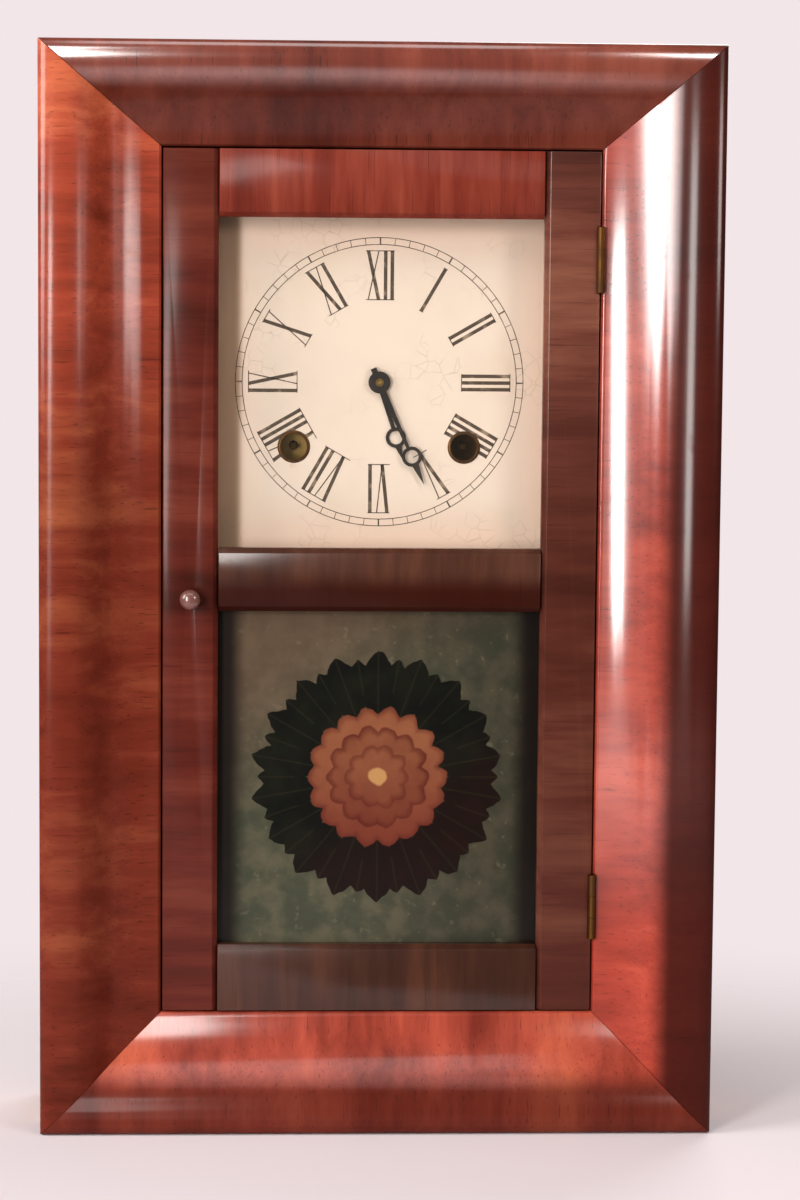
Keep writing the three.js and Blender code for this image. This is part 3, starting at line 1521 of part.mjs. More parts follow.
for (const [name, side] of [["time", 1], ["strike", -1]]) {
  const route = cordRoute().map(([x, y, z]) => [side * x, y, z]);
  place(clock, name + "_pulley", pulley(side), brass);
  place(clock, name + "_weight", castWeight(side), castIron);
  place(movement, name + "_cord", tube(route, cordRadius, cordSides), cordFibre);
  place(clock, name + "_cord_drop", cordDrop(side), cordFibre);
}

export default clock;
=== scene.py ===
# %% [markdown]
# # An ogee shelf clock
# The solids of the clock come ready made, in metres, with +Z up and the dial facing -Y.
# This lesson dresses them: it gives each one a worked material, and makes the pieces that need finer
# forms than the solids have. It starts by loading the solids as a fixed frame and noting their box.

import json
import math

import bmesh
import bpy
from mathutils import Matrix, Vector


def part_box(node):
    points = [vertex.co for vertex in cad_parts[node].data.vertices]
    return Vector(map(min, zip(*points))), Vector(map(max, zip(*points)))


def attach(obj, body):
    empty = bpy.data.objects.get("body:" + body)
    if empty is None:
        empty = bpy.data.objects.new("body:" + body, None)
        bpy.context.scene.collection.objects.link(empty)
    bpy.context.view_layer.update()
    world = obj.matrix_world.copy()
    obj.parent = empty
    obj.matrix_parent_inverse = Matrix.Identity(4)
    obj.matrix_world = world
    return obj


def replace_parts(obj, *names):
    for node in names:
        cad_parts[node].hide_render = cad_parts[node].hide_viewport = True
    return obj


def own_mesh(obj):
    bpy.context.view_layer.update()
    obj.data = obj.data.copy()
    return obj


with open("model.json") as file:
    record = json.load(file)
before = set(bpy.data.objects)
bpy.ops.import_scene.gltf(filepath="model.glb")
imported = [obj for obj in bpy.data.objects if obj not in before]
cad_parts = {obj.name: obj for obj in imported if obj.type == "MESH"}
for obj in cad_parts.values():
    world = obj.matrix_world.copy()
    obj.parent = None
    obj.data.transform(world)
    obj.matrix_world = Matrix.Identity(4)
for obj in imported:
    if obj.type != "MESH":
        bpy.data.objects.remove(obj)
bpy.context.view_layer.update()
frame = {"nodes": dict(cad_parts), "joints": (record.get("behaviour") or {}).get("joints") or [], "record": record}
nodes = frame["nodes"]
MM = 0.001


def middle_of(name):
    """The middle of a solid's box at rest."""
    low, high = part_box(name)
    return (low + high) / 2


# %% [markdown]
# ## Camera
# The photograph was taken from about two metres, a little left of the clock and above its middle, with
# a slight roll. A look-at constraint could aim the camera, but three typed angles can also hold the roll.

# %% Place the camera
camera_place = Vector((-0.0772, -2.0, 0.5162))
camera_down, camera_right, camera_roll = 0.1026, 0.0454, 0.0084  # radians
photo_height_px, focal_px = 1200, 3389

forward = Vector((
    math.sin(camera_right) * math.cos(camera_down),
    math.cos(camera_right) * math.cos(camera_down),
    -math.sin(camera_down),
))
level_right = Vector((math.cos(camera_right), -math.sin(camera_right), 0))
level_up = level_right.cross(forward)
right = level_right * math.cos(camera_roll) + level_up * math.sin(camera_roll)
up = level_up * math.cos(camera_roll) - level_right * math.sin(camera_roll)
turn = Matrix((right, up, -forward)).transposed()

camera = bpy.data.objects.new("camera", bpy.data.cameras.new("camera"))
bpy.context.scene.collection.objects.link(camera)
camera.matrix_world = Matrix.Translation(camera_place) @ turn.to_4x4()
camera.data.lens = focal_px / photo_height_px * camera.data.sensor_width
bpy.context.scene.camera = camera
print("camera lens", round(camera.data.lens, 1), "mm")

# %% [markdown]
# ## Values that can be added up
# A material is a graph of nodes, and wiring each one by hand hides the idea. So a small class wraps an
# output, and ordinary Python sums on it add the Math nodes. Colours don't go through Math nodes, which
# would turn them grey, so they have a mix of their own.
#
# A second class holds one material and makes its nodes. Each method adds a few nodes and hands back their
# output, so that a finish further down reads as a recipe.

# %% A socket that does sums
class Tone:
    """One output of a node in a finish; sums on it add Math nodes."""

    def __init__(self, finish, socket):
        self.finish = finish
        self.socket = socket

    def __add__(self, other):
        return self.finish.math("ADD", self, other)

    __radd__ = __add__

    def __sub__(self, other):
        return self.finish.math("SUBTRACT", self, other)

    def __rsub__(self, other):
        return self.finish.math("SUBTRACT", other, self)

    def __mul__(self, other):
        return self.finish.math("MULTIPLY", self, other)

    def __truediv__(self, other):
        return self.finish.math("DIVIDE", self, other)

    def __abs__(self):
        return self.finish.math("ABSOLUTE", self)

    def step(self, low, high):
        """0 below low, 1 above high, and a smooth rise between; low above high turns it round."""
        limits = {"Value": self, "From Min": low, "From Max": high}
        return self.finish.node("ShaderNodeMapRange", {"interpolation_type": "SMOOTHSTEP"}, limits)


# %% A finish, built node by node
def socket_title(name):
    """The shader's own name for a socket: coat_ior is Coat IOR."""
    return name.replace("_", " ").title().replace("Ior", "IOR")


class Finish:
    """A material with one Principled shader, and the nodes that feed it."""

    def __init__(self, name, **shader_values):
        self.material = bpy.data.materials.new(name)
        self.material.use_nodes = True
        self.tree = self.material.node_tree
        self.shader = self.tree.nodes["Principled BSDF"]
        for socket, value in shader_values.items():
            self.shader.inputs[socket_title(socket)].default_value = value

    def fill(self, socket, value):
        if isinstance(value, Tone):
            self.tree.links.new(value.socket, socket)
        elif hasattr(value, "__len__") and len(value) == 3 and socket.type == "RGBA":
            socket.default_value = (*value, 1)
        else:
            socket.default_value = value

    def node(self, kind, settings=None, inputs=None, output=0):
        made = self.tree.nodes.new(kind)
        for name, value in (settings or {}).items():
            setattr(made, name, value)
        for socket, value in (inputs or {}).items():
            self.fill(made.inputs[socket], value)
        return Tone(self, made.outputs[output])

    def math(self, operation, *values):
        return self.node("ShaderNodeMath", {"operation": operation}, dict(enumerate(values)))

    def distance(self, across, along):
        return self.math("SQRT", across * across + along * along)

    def feed(self, **sockets):
        for name, value in sockets.items():
            self.fill(self.shader.inputs[socket_title(name)], value)

    def place(self, centre=(0, 0, 0), stretch=(1, 1, 1)):
        """Object coordinates, measured from centre and then stretched."""
        coordinates = self.node("ShaderNodeTexCoord", output="Object")
        moved = self.node(
            "ShaderNodeVectorMath", {"operation": "SUBTRACT"}, {0: coordinates, 1: tuple(centre)}
        )
        return self.node("ShaderNodeVectorMath", {"operation": "MULTIPLY"}, {0: moved, 1: tuple(stretch)})

    def parts(self, vector):
        """The X, Y and Z of a vector."""
        split = self.tree.nodes.new("ShaderNodeSeparateXYZ")
        self.fill(split.inputs[0], vector)
        return [Tone(self, output) for output in split.outputs]

    def noise(self, vector, scale, detail=3.0, roughness=0.55, distortion=0.0):
        inputs = {
            "Vector": vector, "Scale": scale, "Detail": detail, "Roughness": roughness,
            "Distortion": distortion,
        }
        return self.node("ShaderNodeTexNoise", None, inputs)

    def cell_edges(self, vector, scale):
        """0 on the edges of a web of cells, and more towards their middles."""
        inputs = {"Vector": vector, "Scale": scale}
        return self.node("ShaderNodeTexVoronoi", {"feature": "DISTANCE_TO_EDGE"}, inputs)

    def mix(self, factor, first, second):
        """The first colour where the factor is 0, and the second where it is 1."""
        return self.node("ShaderNodeMix", {"data_type": "RGBA"}, {0: factor, 6: first, 7: second}, output=2)

    def ramp(self, factor, *stops):
        """A colour that runs through the stops, each a place from 0 to 1 and a colour."""
        made = self.node("ShaderNodeValToRGB", None, {0: factor})
        ramp = made.socket.node.color_ramp
        while len(ramp.elements) < len(stops):
            ramp.elements.new(1.0)
        for element, (place, colour) in zip(ramp.elements, stops):
            element.position = place
            element.color = (*colour, 1)
        return made

    def bump(self, height, strength, distance=0.0005):
        inputs = {"Height": height, "Strength": strength, "Distance": distance}
        self.feed(normal=self.node("ShaderNodeBump", None, inputs))


def rgb(red, green, blue):
    """A colour picked on a screen, 0 to 255, as the linear light that a shader wants."""
    def linear(part):
        share = part / 255
        return share / 12.92 if share <= 0.04045 else ((share + 0.055) / 1.055) ** 2.4
    return linear(red), linear(green), linear(blue)


print("half grey on a screen is", round(rgb(128, 128, 128)[0], 3), "of full light")

# %% [markdown]
# ## Veneer
# The ogee moulding of such a clock is pine, covered with thin mahogany veneer whose grain runs across
# each member and not along it. A photograph could be wrapped round it, but a grain worked out from the
# clock's own coordinates never repeats and meets itself at the mitres. Three noises are stretched along
# the grain: broad figure, narrower streaks and fine pores. The polish over it is the shader's coat, and
# its index of refraction sets how strongly a member mirrors the room.
#
# Some places of the case are darker, as painted shade where a member faces away from the light, and
# duller. A second material for those would need an edge, so bands with soft ends darken the colour as
# painted shade and thin the polish.

# %% Mahogany veneer
figure_length, pore_width = 0.12, 6  # coordinates are stretched by these, along the grain and across it
# The brown that bands of painted shade darken the veneer towards, and how much they dull its polish.
painted_shade_brown, dulled = rgb(48, 14, 8), 0.88


def veneer(name, grain, seed, dark, middle, light, polish, *shade_bands):
    """Polished veneer whose grain runs along the axis grain, 0 for X and 2 for Z.

    Each band given after the tones is a band of painted shade and dulled polish: its axis, its middle, how far
    from there it is full, how far it reaches, and its share of the colour. A share of 0 only dulls the polish.
    The middle may lie outside the member, which then shows one edge of the band.
    """
    finish = Finish(name, coat_roughness=0.18, coat_ior=polish, specular_ior_level=0.05)
    along = [1, 1, 1]
    along[grain] = figure_length
    place = finish.place(centre=(seed, seed, seed), stretch=along)
    figure = finish.noise(place, 11, detail=2, distortion=0.5)
    streaks = finish.noise(place, 85, detail=4, roughness=0.6, distortion=0.3)
    pores = finish.noise(finish.place(stretch=[a if a < 1 else pore_width for a in along]), 150, detail=2)
    tone = figure * 0.62 + streaks * 0.38
    colour = finish.ramp(tone, (0.32, dark), (0.50, middle), (0.66, light))
    shine = 1.0
    for axis, band, full, reach, share in shade_bands:
        along_axis = finish.parts(finish.place())[axis] - band
        cover = abs(along_axis).step(reach, full)
        # Painted shade: the band darkens the colour and dulls the polish.
        colour = finish.mix(cover * share, colour, painted_shade_brown)
        shine = (1.0 - cover * dulled) * shine
    open_pores = pores.step(0.60, 0.72)
    colour = finish.mix(open_pores * 0.45, colour, rgb(40, 14, 8))
    rubbed = finish.noise(finish.place(), 60, detail=3).step(0.60, 0.75)
    finish.feed(base_color=colour, roughness=0.34 + rubbed * 0.12 + open_pores * 0.1)
    finish.feed(coat_weight=(0.95 - rubbed * 0.3) * shine)
    finish.bump(streaks * 0.5 + open_pores * -0.6, 0.12)
    print("veneer", name)
    return finish.material


# What veneer() takes after the name: the grain's axis, a seed, three tones from dark to light, the polish's
# index of refraction, and any bands of painted shade. The tones differ from member to member partly as
# painted shade: the top member and the door's middle and bottom rails have darker tones. The bands with a
# share of colour paint shade on the lower part of the left member and a narrow upright strip of it, the outer
# parts of the right and bottom members, the lower part of the top member, the top of the left stile, the lower
# part of the right stile and the lower half of the middle rail.
members = {
    "ogee_left": (
        0, 0.31, rgb(102, 36, 20), rgb(158, 65, 44), rgb(206, 110, 72), 1.45,
        (2, 0.0, 0.36, 0.54, 0.6), (0, -0.165, 0.006, 0.012, 0.15),
    ),
    "ogee_right": (
        0, 0.94, rgb(110, 36, 26), rgb(160, 59, 43), rgb(194, 82, 59), 2.7,
        (0, 0.30, 0.128, 0.142, 0.92), (2, 0.0, 0.10, 0.27, 0.0),
    ),
    "ogee_top": (
        2, 0.77, rgb(74, 28, 19), rgb(117, 51, 36), rgb(148, 74, 55), 2.2,
        (2, 0.50, 0.107, 0.117, 0.45),
    ),
    "ogee_bottom": (
        2, 1.62, rgb(114, 40, 28), rgb(163, 69, 51), rgb(194, 94, 64), 1.5,
        (2, 0.0, 0.024, 0.040, 0.72),
    ),
    "door_left_stile": (
        0, 1.43, rgb(56, 20, 13), rgb(88, 34, 25), rgb(114, 54, 40), 1.22,
        (2, 0.70, 0.13, 0.22, 0.3),
    ),
    "door_right_stile": (
        0, 2.71, rgb(60, 28, 20), rgb(94, 49, 38), rgb(126, 78, 60), 1.45,
        (2, 0.0, 0.30, 0.50, 0.4),
    ),
    "door_top_rail": (2, 2.18, rgb(70, 23, 15), rgb(112, 43, 31), rgb(143, 67, 50), 1.16),
    "door_middle_rail": (
        2, 3.05, rgb(36, 18, 10), rgb(70, 40, 28), rgb(96, 58, 42), 1.45,
        (2, 0.20, 0.118, 0.132, 0.9),
    ),
    "door_bottom_rail": (2, 3.62, rgb(32, 16, 9), rgb(60, 33, 22), rgb(84, 48, 32), 1.45),
}
by_node = {name: veneer("veneer_" + name, *values) for name, values in members.items()}

# %% [markdown]
# ## Pine
# The case behind the moulding is plain pine: pale early wood and darker late wood in long bands. Wave
# textures give such bands but look ruled, so a stretched noise is folded into bands instead.

# %% Pine boards
def pine(name, grain):
    finish = Finish(name, specular_ior_level=0.3)
    along = [1, 1, 1]
    along[grain] = 0.05
    place = finish.place(stretch=along)
    growth = finish.noise(place, 14, detail=2, distortion=0.4)
    bands = finish.math("SINE", growth * 90) * 0.5 + 0.5
    fibre = finish.noise(place, 240, detail=3)
    colour = finish.mix(bands * 0.5, rgb(168, 128, 84), rgb(124, 84, 50))
    grime = finish.noise(finish.place(), 12, detail=4).step(0.5, 0.8)
    colour = finish.mix(grime * 0.5, colour, rgb(92, 62, 40))
    finish.feed(base_color=colour, roughness=0.62 + fibre * 0.2)
    finish.bump(fibre + bands * 0.3, 0.2)
    print("pine", name)
    return finish.material


upright_pine = pine("pine_upright", 2)
level_pine = pine("pine_level", 0)

# %% [markdown]
# ## Metals
# Old lacquered brass is warm and uneven, with brown tarnish where it is handled least. A single metal
# colour looks like plastic, so a noise mixes a dull tone into the bright one and lifts the roughness with
# it. Three brasses differ in how dark they are: a bright one for most of the wheels, a darker one as painted
# shade for hinges, rims and what lies just behind the dial, and the darkest as painted deep shade for the
# drums, because the photograph's winding holes look nearly black.

# %% Brass, steel and iron
def metal(name, bright, dull, roughness, metallic=1.0, scratch_scale=400, spread=0.6):
    finish = Finish(name)
    cloud = finish.noise(finish.place(), 45, detail=5, roughness=0.65)
    tarnish = cloud.step(0.42, 0.72)
    scratches = finish.noise(finish.place(stretch=(1, 1, 8)), scratch_scale, detail=2)
    finish.feed(
        base_color=finish.mix(tarnish * spread, bright, dull),
        metallic=metallic - tarnish * 0.25,
        roughness=roughness + tarnish * 0.22 + scratches * 0.08,
    )
    finish.bump(scratches + tarnish * 0.5, 0.08, 0.0002)
    print("metal", name)
    return finish.material


brass = metal("aged_brass", rgb(206, 168, 98), rgb(128, 92, 48), 0.26)
shaded_brass = metal("shaded_brass", rgb(92, 60, 28), rgb(46, 28, 13), 0.4)
deep_shade_brass = metal("deep_shade_brass", rgb(60, 40, 20), rgb(30, 18, 9), 0.5)
steel = metal("dull_steel", rgb(150, 150, 148), rgb(84, 78, 72), 0.3)
black_iron = metal("black_iron", rgb(30, 27, 24), rgb(52, 40, 32), 0.42, 0.4)
cast_iron = metal("cast_iron", rgb(48, 46, 45), rgb(74, 54, 42), 0.62, 0.55, 160, 0.7)

# %% [markdown]
# ## Painted dial
# The dial is a zinc plate under cream paint, a little warmer at its edges, with a fine web of cracks.
# A Voronoi texture's distance to its cell edges makes the cracks; only some of them hold dirt. The
# photograph shows a narrow brown strip down the left edge, which is painted there as the shadow of the
# door's left stile.

# %% Cream dial paint
hub = middle_of("dial_plate")
# Where each begins and where it is full, in metres from the hub.
warm_edge, shadow_strip_reach = (0.062, 0.1), (-0.0795, -0.0835)


def dial_paint():
    finish = Finish("cream_dial_paint", coat_roughness=0.3, specular_ior_level=0.35)
    place = finish.place(centre=(hub.x, 0, hub.z))
    across, _, height = finish.parts(place)
    edge = finish.math("MAXIMUM", abs(across), abs(height)).step(*warm_edge)
    stain = finish.noise(place, 22, detail=4).step(0.48, 0.78)
    held = finish.noise(place, 35, detail=2).step(0.52, 0.66)
    cracks = finish.cell_edges(place, 130).step(0.035, 0.0) * held
    colour = finish.mix(edge * 0.8, rgb(229, 213, 194), rgb(236, 202, 178))
    colour = finish.mix(stain * 0.35, colour, rgb(214, 192, 160))
    colour = finish.mix(cracks * 0.35, colour, rgb(150, 124, 92))
    # Painted shadow of the door's left stile down the dial's left edge.
    painted_stile_shadow = across.step(*shadow_strip_reach)
    colour = finish.mix(painted_stile_shadow * 0.8, colour, rgb(172, 138, 102))
    finish.feed(base_color=colour, roughness=0.5 + stain * 0.15, coat_weight=0.15 + stain * 0.05)
    finish.bump(cracks * -1.0 + stain * 0.1, 0.15, 0.0001)
    return finish.material


cream_paint = dial_paint()
print("dial hub at", tuple(round(c, 4) for c in hub))

# %% [markdown]
# ## Painted tablet
# The lower pane is painted on its back: a wreath of leaves round a flower, on a mottled grey-green ground.
# The leaves could be cut as meshes, but paint has no thickness, so they are drawn with sums in polar
# coordinates. A ring of leaves is one leaf, repeated by folding the angle round the centre. Three rings of
# eighteen overlap, each turned by half a leaf from the one below. A dark border runs down both sides and
# fades inwards, as on the photographed clock: partly a painted border and partly painted shade of the
# door's stiles. The ground also darkens towards the right as painted shade.

# %% A ring of leaves in polar sums
tablet_centre = middle_of("tablet_glass")
full_turn = 2 * math.pi
# Each ring of leaves: its number, middle radius, half length, half width, phase and share of full colour.
leaf_rings = (
    (18, 0.0620, 0.0125, 0.0092, 0.00, 0.70),
    (18, 0.0565, 0.0140, 0.0098, 0.50, 1.00),
    (18, 0.0470, 0.0125, 0.0088, 0.00, 0.80),
)
# Each ring of petals: half its number, its reach, the depth of its scallops and how much darker it is.
petal_rings = ((9, 0.0375, 0.0040, 0.0), (7, 0.0270, 0.0035, 0.25), (5, 0.0165, 0.0028, 0.1))
border_shade_begins, border_shade_whole = 0.0760, 0.0880  # to each side of the centre


def ring_of_leaves(radius, angle, count, middle, half_length, half_width, phase):
    """1 on the leaves and 0 between them, and a thin line along the middle of each leaf."""
    share = radius.finish.math("FRACT", angle * (count / full_turn) + phase)
    sideways = (share - 0.5) * (full_turn / count) * radius
    lengthways = (radius - middle) / half_length
    room = (1 - lengthways * lengthways) * half_width
    leaf = (room - abs(sideways)).step(-0.0002, 0.0006)
    vein = leaf * abs(sideways).step(0.0007, 0.0002)
    return leaf, vein


def tablet_paint():
    finish = Finish(
        "painted_tablet", coat_weight=0.12, coat_roughness=0.05, coat_ior=1.5, specular_ior_level=0.1
    )
    place = finish.place(centre=tablet_centre)
    across, _, height = finish.parts(place)
    wobble = (finish.noise(place, 90, detail=2) - 0.5) * 0.006
    radius = finish.distance(across, height) + wobble
    angle = finish.math("ARCTAN2", height, across)

    mottle = finish.noise(place, 55, detail=4, roughness=0.6)
    ground = finish.mix(mottle.step(0.35, 0.7), rgb(58, 62, 48), rgb(84, 80, 63))
    warm = (height - across * 0.7).step(0.02, 0.13)
    ground = finish.mix(warm * 0.6, ground, rgb(94, 70, 54))
    # Painted shade: the ground darkens towards the right.
    ground = finish.mix(across.step(-0.04, 0.09) * 0.5, ground, rgb(28, 22, 13))
    rub = finish.noise(place, 180, detail=3).step(0.62, 0.7)
    colour = finish.mix(rub * 0.25, ground, rgb(112, 106, 84))

    low = (0.0 - height + across * 0.6).step(0.0, 0.05)
    green = finish.mix(finish.noise(place, 40, detail=2).step(0.4, 0.62), rgb(5, 7, 3), rgb(15, 17, 8))
    leaf_colour = finish.mix(low, green, rgb(22, 7, 4))
    for count, middle, length, width, phase, share in leaf_rings:
        leaf, vein = ring_of_leaves(radius, angle, count, middle, length, width, phase)
        tinted = finish.mix(1 - share, leaf_colour, rgb(6, 5, 3))
        tinted = finish.mix(vein * 0.2, tinted, rgb(52, 48, 26))
        colour = finish.mix(leaf, colour, tinted)

    petal_tone = finish.noise(place, 60, detail=3).step(0.35, 0.7)
    peach = finish.mix((height + 0.02).step(-0.03, 0.05), rgb(104, 46, 33), rgb(130, 79, 52))
    for count, reach, ripple, shade in petal_rings:
        wave = finish.math("COSINE", angle * count)
        edge = radius - abs(wave) * ripple - reach
        petals = edge.step(0.0006, -0.0006)
        shadow = edge.step(-0.0050, 0.0) * 0.55
        tinted = finish.mix(shadow + petal_tone * 0.2 + shade, peach, rgb(80, 28, 20))
        colour = finish.mix(petals, colour, tinted)
    heart = radius.step(0.0060, 0.0045)
    colour = finish.mix(heart, colour, rgb(170, 126, 78))

    # A dark painted border at both sides, with painted shade of the door's stiles fading inwards from it.
    border_and_shade = abs(across).step(border_shade_begins, border_shade_whole)
    colour = finish.mix(border_and_shade * 0.95, colour, rgb(16, 9, 6))
    finish.feed(base_color=colour, roughness=0.38 + mottle * 0.1)
    return finish.material


tablet = tablet_paint()
print("tablet centre", tuple(round(c, 4) for c in tablet_centre))

# %% [markdown]
# ## Clear glass, the knob and the cord
# Old sheet glass over the dial is nearly invisible, with a thin shine. Full refraction is slow and adds
# nothing in a flat pane, so the pane is mostly see-through by alpha, and only its gloss stays. The knob
# is glazed clay with faint crazing. The cord is plaited linen, and a sine along a slanting line gives its
# plait.

# %% Glass, glaze and cord
plait_length = 1.6 * MM


def clear_glass():
    finish = Finish("old_sheet_glass", specular_ior_level=0.6)
    dust = finish.noise(finish.place(), 18, detail=5).step(0.45, 0.8)
    finish.feed(
        base_color=finish.mix(dust, rgb(120, 112, 98), rgb(150, 138, 118)),
        roughness=0.04 + dust * 0.06,
        alpha=0.035 + dust * 0.03,
    )
    waves = finish.noise(finish.place(stretch=(1, 1, 0.4)), 9, detail=1)
    finish.bump(waves, 0.1, 0.001)
    return finish.material


def glaze():
    finish = Finish("pale_glaze", coat_weight=0.8, coat_roughness=0.08)
    crackle = finish.cell_edges(finish.place(), 420).step(0.05, 0.0)
    cloud = finish.noise(finish.place(), 160, detail=2)
    colour = finish.mix(cloud, rgb(120, 76, 68), rgb(92, 58, 51))
    colour = finish.mix(crackle * 0.3, colour, rgb(120, 88, 76))
    finish.feed(base_color=colour, roughness=0.24 + cloud * 0.1)
    finish.bump(cloud, 0.06, 0.0002)
    return finish.material


def linen_cord():
    finish = Finish("linen_cord")
    x, y, z = finish.parts(finish.place())
    plait = finish.math("SINE", (x + y + z) * (full_turn / plait_length)) * 0.5 + 0.5
    fluff = finish.noise(finish.place(), 900, detail=3)
    colour = finish.mix(plait * 0.6 + fluff * 0.3, rgb(126, 106, 78), rgb(188, 168, 132))
    finish.feed(base_color=colour, roughness=0.8 + fluff * 0.15)
    finish.bump(plait + fluff * 0.5, 0.5, 0.0003)
    return finish.material


glass, pale_glaze, linen = clear_glass(), glaze(), linen_cord()
print("glass, glaze and cord are ready")

# %% [markdown]
# ## Dressing the solids
# Each solid keeps its mesh. A Weld closes its loose triangles, faces are shaded smooth, and an Edge Split
# keeps every corner sharper than 32 degrees crisp, so that curves look round and edges stay edges. The
# wooden members get a narrow Bevel instead, because worn wood has no knife edges.

# %% Materials by slot, and by name where a piece differs from its slot
corner = math.radians(32)
weld_distance, worn_edge = 1e-6, 0.5 * MM
by_slot = {
    "pine": upright_pine, "painted_zinc": cream_paint, "clear_glass": glass,
    "painted_tablet": tablet, "brass": brass, "steel": steel, "black_iron": black_iron,
    "cast_iron": cast_iron, "pale_knob": pale_glaze, "cord": linen,
}
by_node.update({
    "time_drum": deep_shade_brass, "strike_drum": deep_shade_brass, "movement_front_plate": shaded_brass,
    "time_great_wheel": shaded_brass, "strike_great_wheel": shaded_brass,
    "lower_hinge_door_leaf": shaded_brass, "upper_hinge_door_leaf": shaded_brass,
    "lower_hinge_case_leaf": shaded_brass, "upper_hinge_case_leaf": shaded_brass,
    "case_top_board": level_pine, "case_bottom_board": level_pine,
})


def crisp(made, angle=corner):
    """Edges sharper than the angle are split, so that shading doesn't run round them."""
    split = made.modifiers.new("crisp edges", "EDGE_SPLIT")
    split.split_angle = angle
    split.use_edge_sharp = False
    return made


for part in frame["record"]["subparts"]:
    name = part["node"]
    node = nodes[name]
    node.data.materials.clear()
    node.data.materials.append(by_node.get(name) or by_slot[part["material_slot"]])
    for face in node.data.polygons:
        face.use_smooth = True
    weld = node.modifiers.new("close", "WELD")
    weld.merge_threshold = weld_distance
    if part["material_slot"] in ("mahogany", "pine"):
        bevel = node.modifiers.new("worn edges", "BEVEL")
        bevel.width = worn_edge
        bevel.segments = 2
        bevel.limit_method = "ANGLE"
        bevel.angle_limit = corner
        bevel.harden_normals = True
    else:
        crisp(node)

# %% [markdown]
# ## Making a piece
# Every new piece starts as a bmesh in place, so its object can stay at the origin. One function turns
# the bmesh into an object, gives it its material, and lets it ride on the body that carries it.

# %% From bmesh to a piece
def piece(name, mesh, material, body, smooth=True):
    """An object made of the mesh, on a body of the frame and in a slot of the materials."""
    bmesh.ops.recalc_face_normals(mesh, faces=mesh.faces)
    data = bpy.data.meshes.new(name)
    mesh.to_mesh(data)
    mesh.free()
    data.materials.append(material)
    for face in data.polygons:
        face.use_smooth = smooth
    made = bpy.data.objects.new(name, data)
    bpy.context.scene.collection.objects.link(made)
    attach(made, body)
    print(name, len(data.polygons), "faces")
    return made


# %% [markdown]
# ## Numerals
# The hours are Roman, with their feet to the centre, and four is four strokes, as clockmakers paint it.
# A font would bring its own style and its curves to clean up, and these letters are only straight
# strokes: each stroke is a face with four corners, set round the hub just in front of the dial.

# %% Roman numerals
hours = ["XII", "I", "II", "III", "IIII", "V", "VI", "VII", "VIII", "IX", "X", "XI"]
numeral_inner, numeral_outer = 48 * MM, 77 * MM
thick_stroke, thin_stroke, serif = 2.1 * MM, 0.7 * MM, 0.55 * MM
letter_width = {"I": 3.9 * MM, "V": 10.2 * MM, "X": 10.2 * MM}
lean_inset, serif_inset = 2.0 * MM, 0.6 * MM  # how far slanting strokes and serifs stay inside a letter
paint_film = 0.06 * MM
dial_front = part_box("dial_plate")[0].y
paint_centre = Vector((hub.x, dial_front - paint_film / 2, hub.z))


def strokes(letter, middle):
    """The strokes of a letter: where each one stands at its foot and head, and how wide it is."""
    lean = letter_width[letter] / 2 - lean_inset
    if letter == "I":
        return [(middle, middle, thick_stroke)]
    if letter == "V":
        return [(middle, middle - lean, thick_stroke), (middle, middle + lean, thin_stroke)]
    return [(middle + lean, middle - lean, thick_stroke), (middle - lean, middle + lean, thin_stroke)]


def flat_quad(mesh, corners, hour):
    """A face at an hour of the dial, from corners that are each so far across and so far out."""
    angle = math.radians(hour * 30)  # an hour is 30 degrees
    out = Vector((math.sin(angle), 0, math.cos(angle)))
    side = Vector((math.cos(angle), 0, -math.sin(angle)))
    mesh.faces.new([mesh.verts.new(paint_centre + side * u + out * v) for u, v in corners])


def numeral(mesh, hour, letters):
    width = sum(letter_width[letter] for letter in letters)
    edge = -width / 2
    low, high = numeral_inner, numeral_outer
    for letter in letters:
        middle = edge + letter_width[letter] / 2
        for foot, head, wide in strokes(letter, middle):
            half = wide / 2
            corners = [(foot - half, low), (foot + half, low), (head + half, high), (head - half, high)]
            flat_quad(mesh, corners, hour)
        edge += letter_width[letter]
    left, right_end = -width / 2 + serif_inset, width / 2 - serif_inset
    for foot in (low, high - serif):
        head = foot + serif
        flat_quad(mesh, [(left, foot), (right_end, foot), (right_end, head), (left, head)], hour)


lettering = bmesh.new()
for hour, letters in enumerate(hours):
    numeral(lettering, hour, letters)
print(len(hours), "numerals of", len(lettering.faces), "strokes")

# %% [markdown]
# ## Minute ring
# The minutes are marked between two thin circles, with broader marks at the hours.
#
# The winding holes pierce the ring of numerals, so the paint has to stop at them. Cutting thin paint with
# a Boolean is fragile; instead the strokes are divided finely and the faces over each hole are deleted.

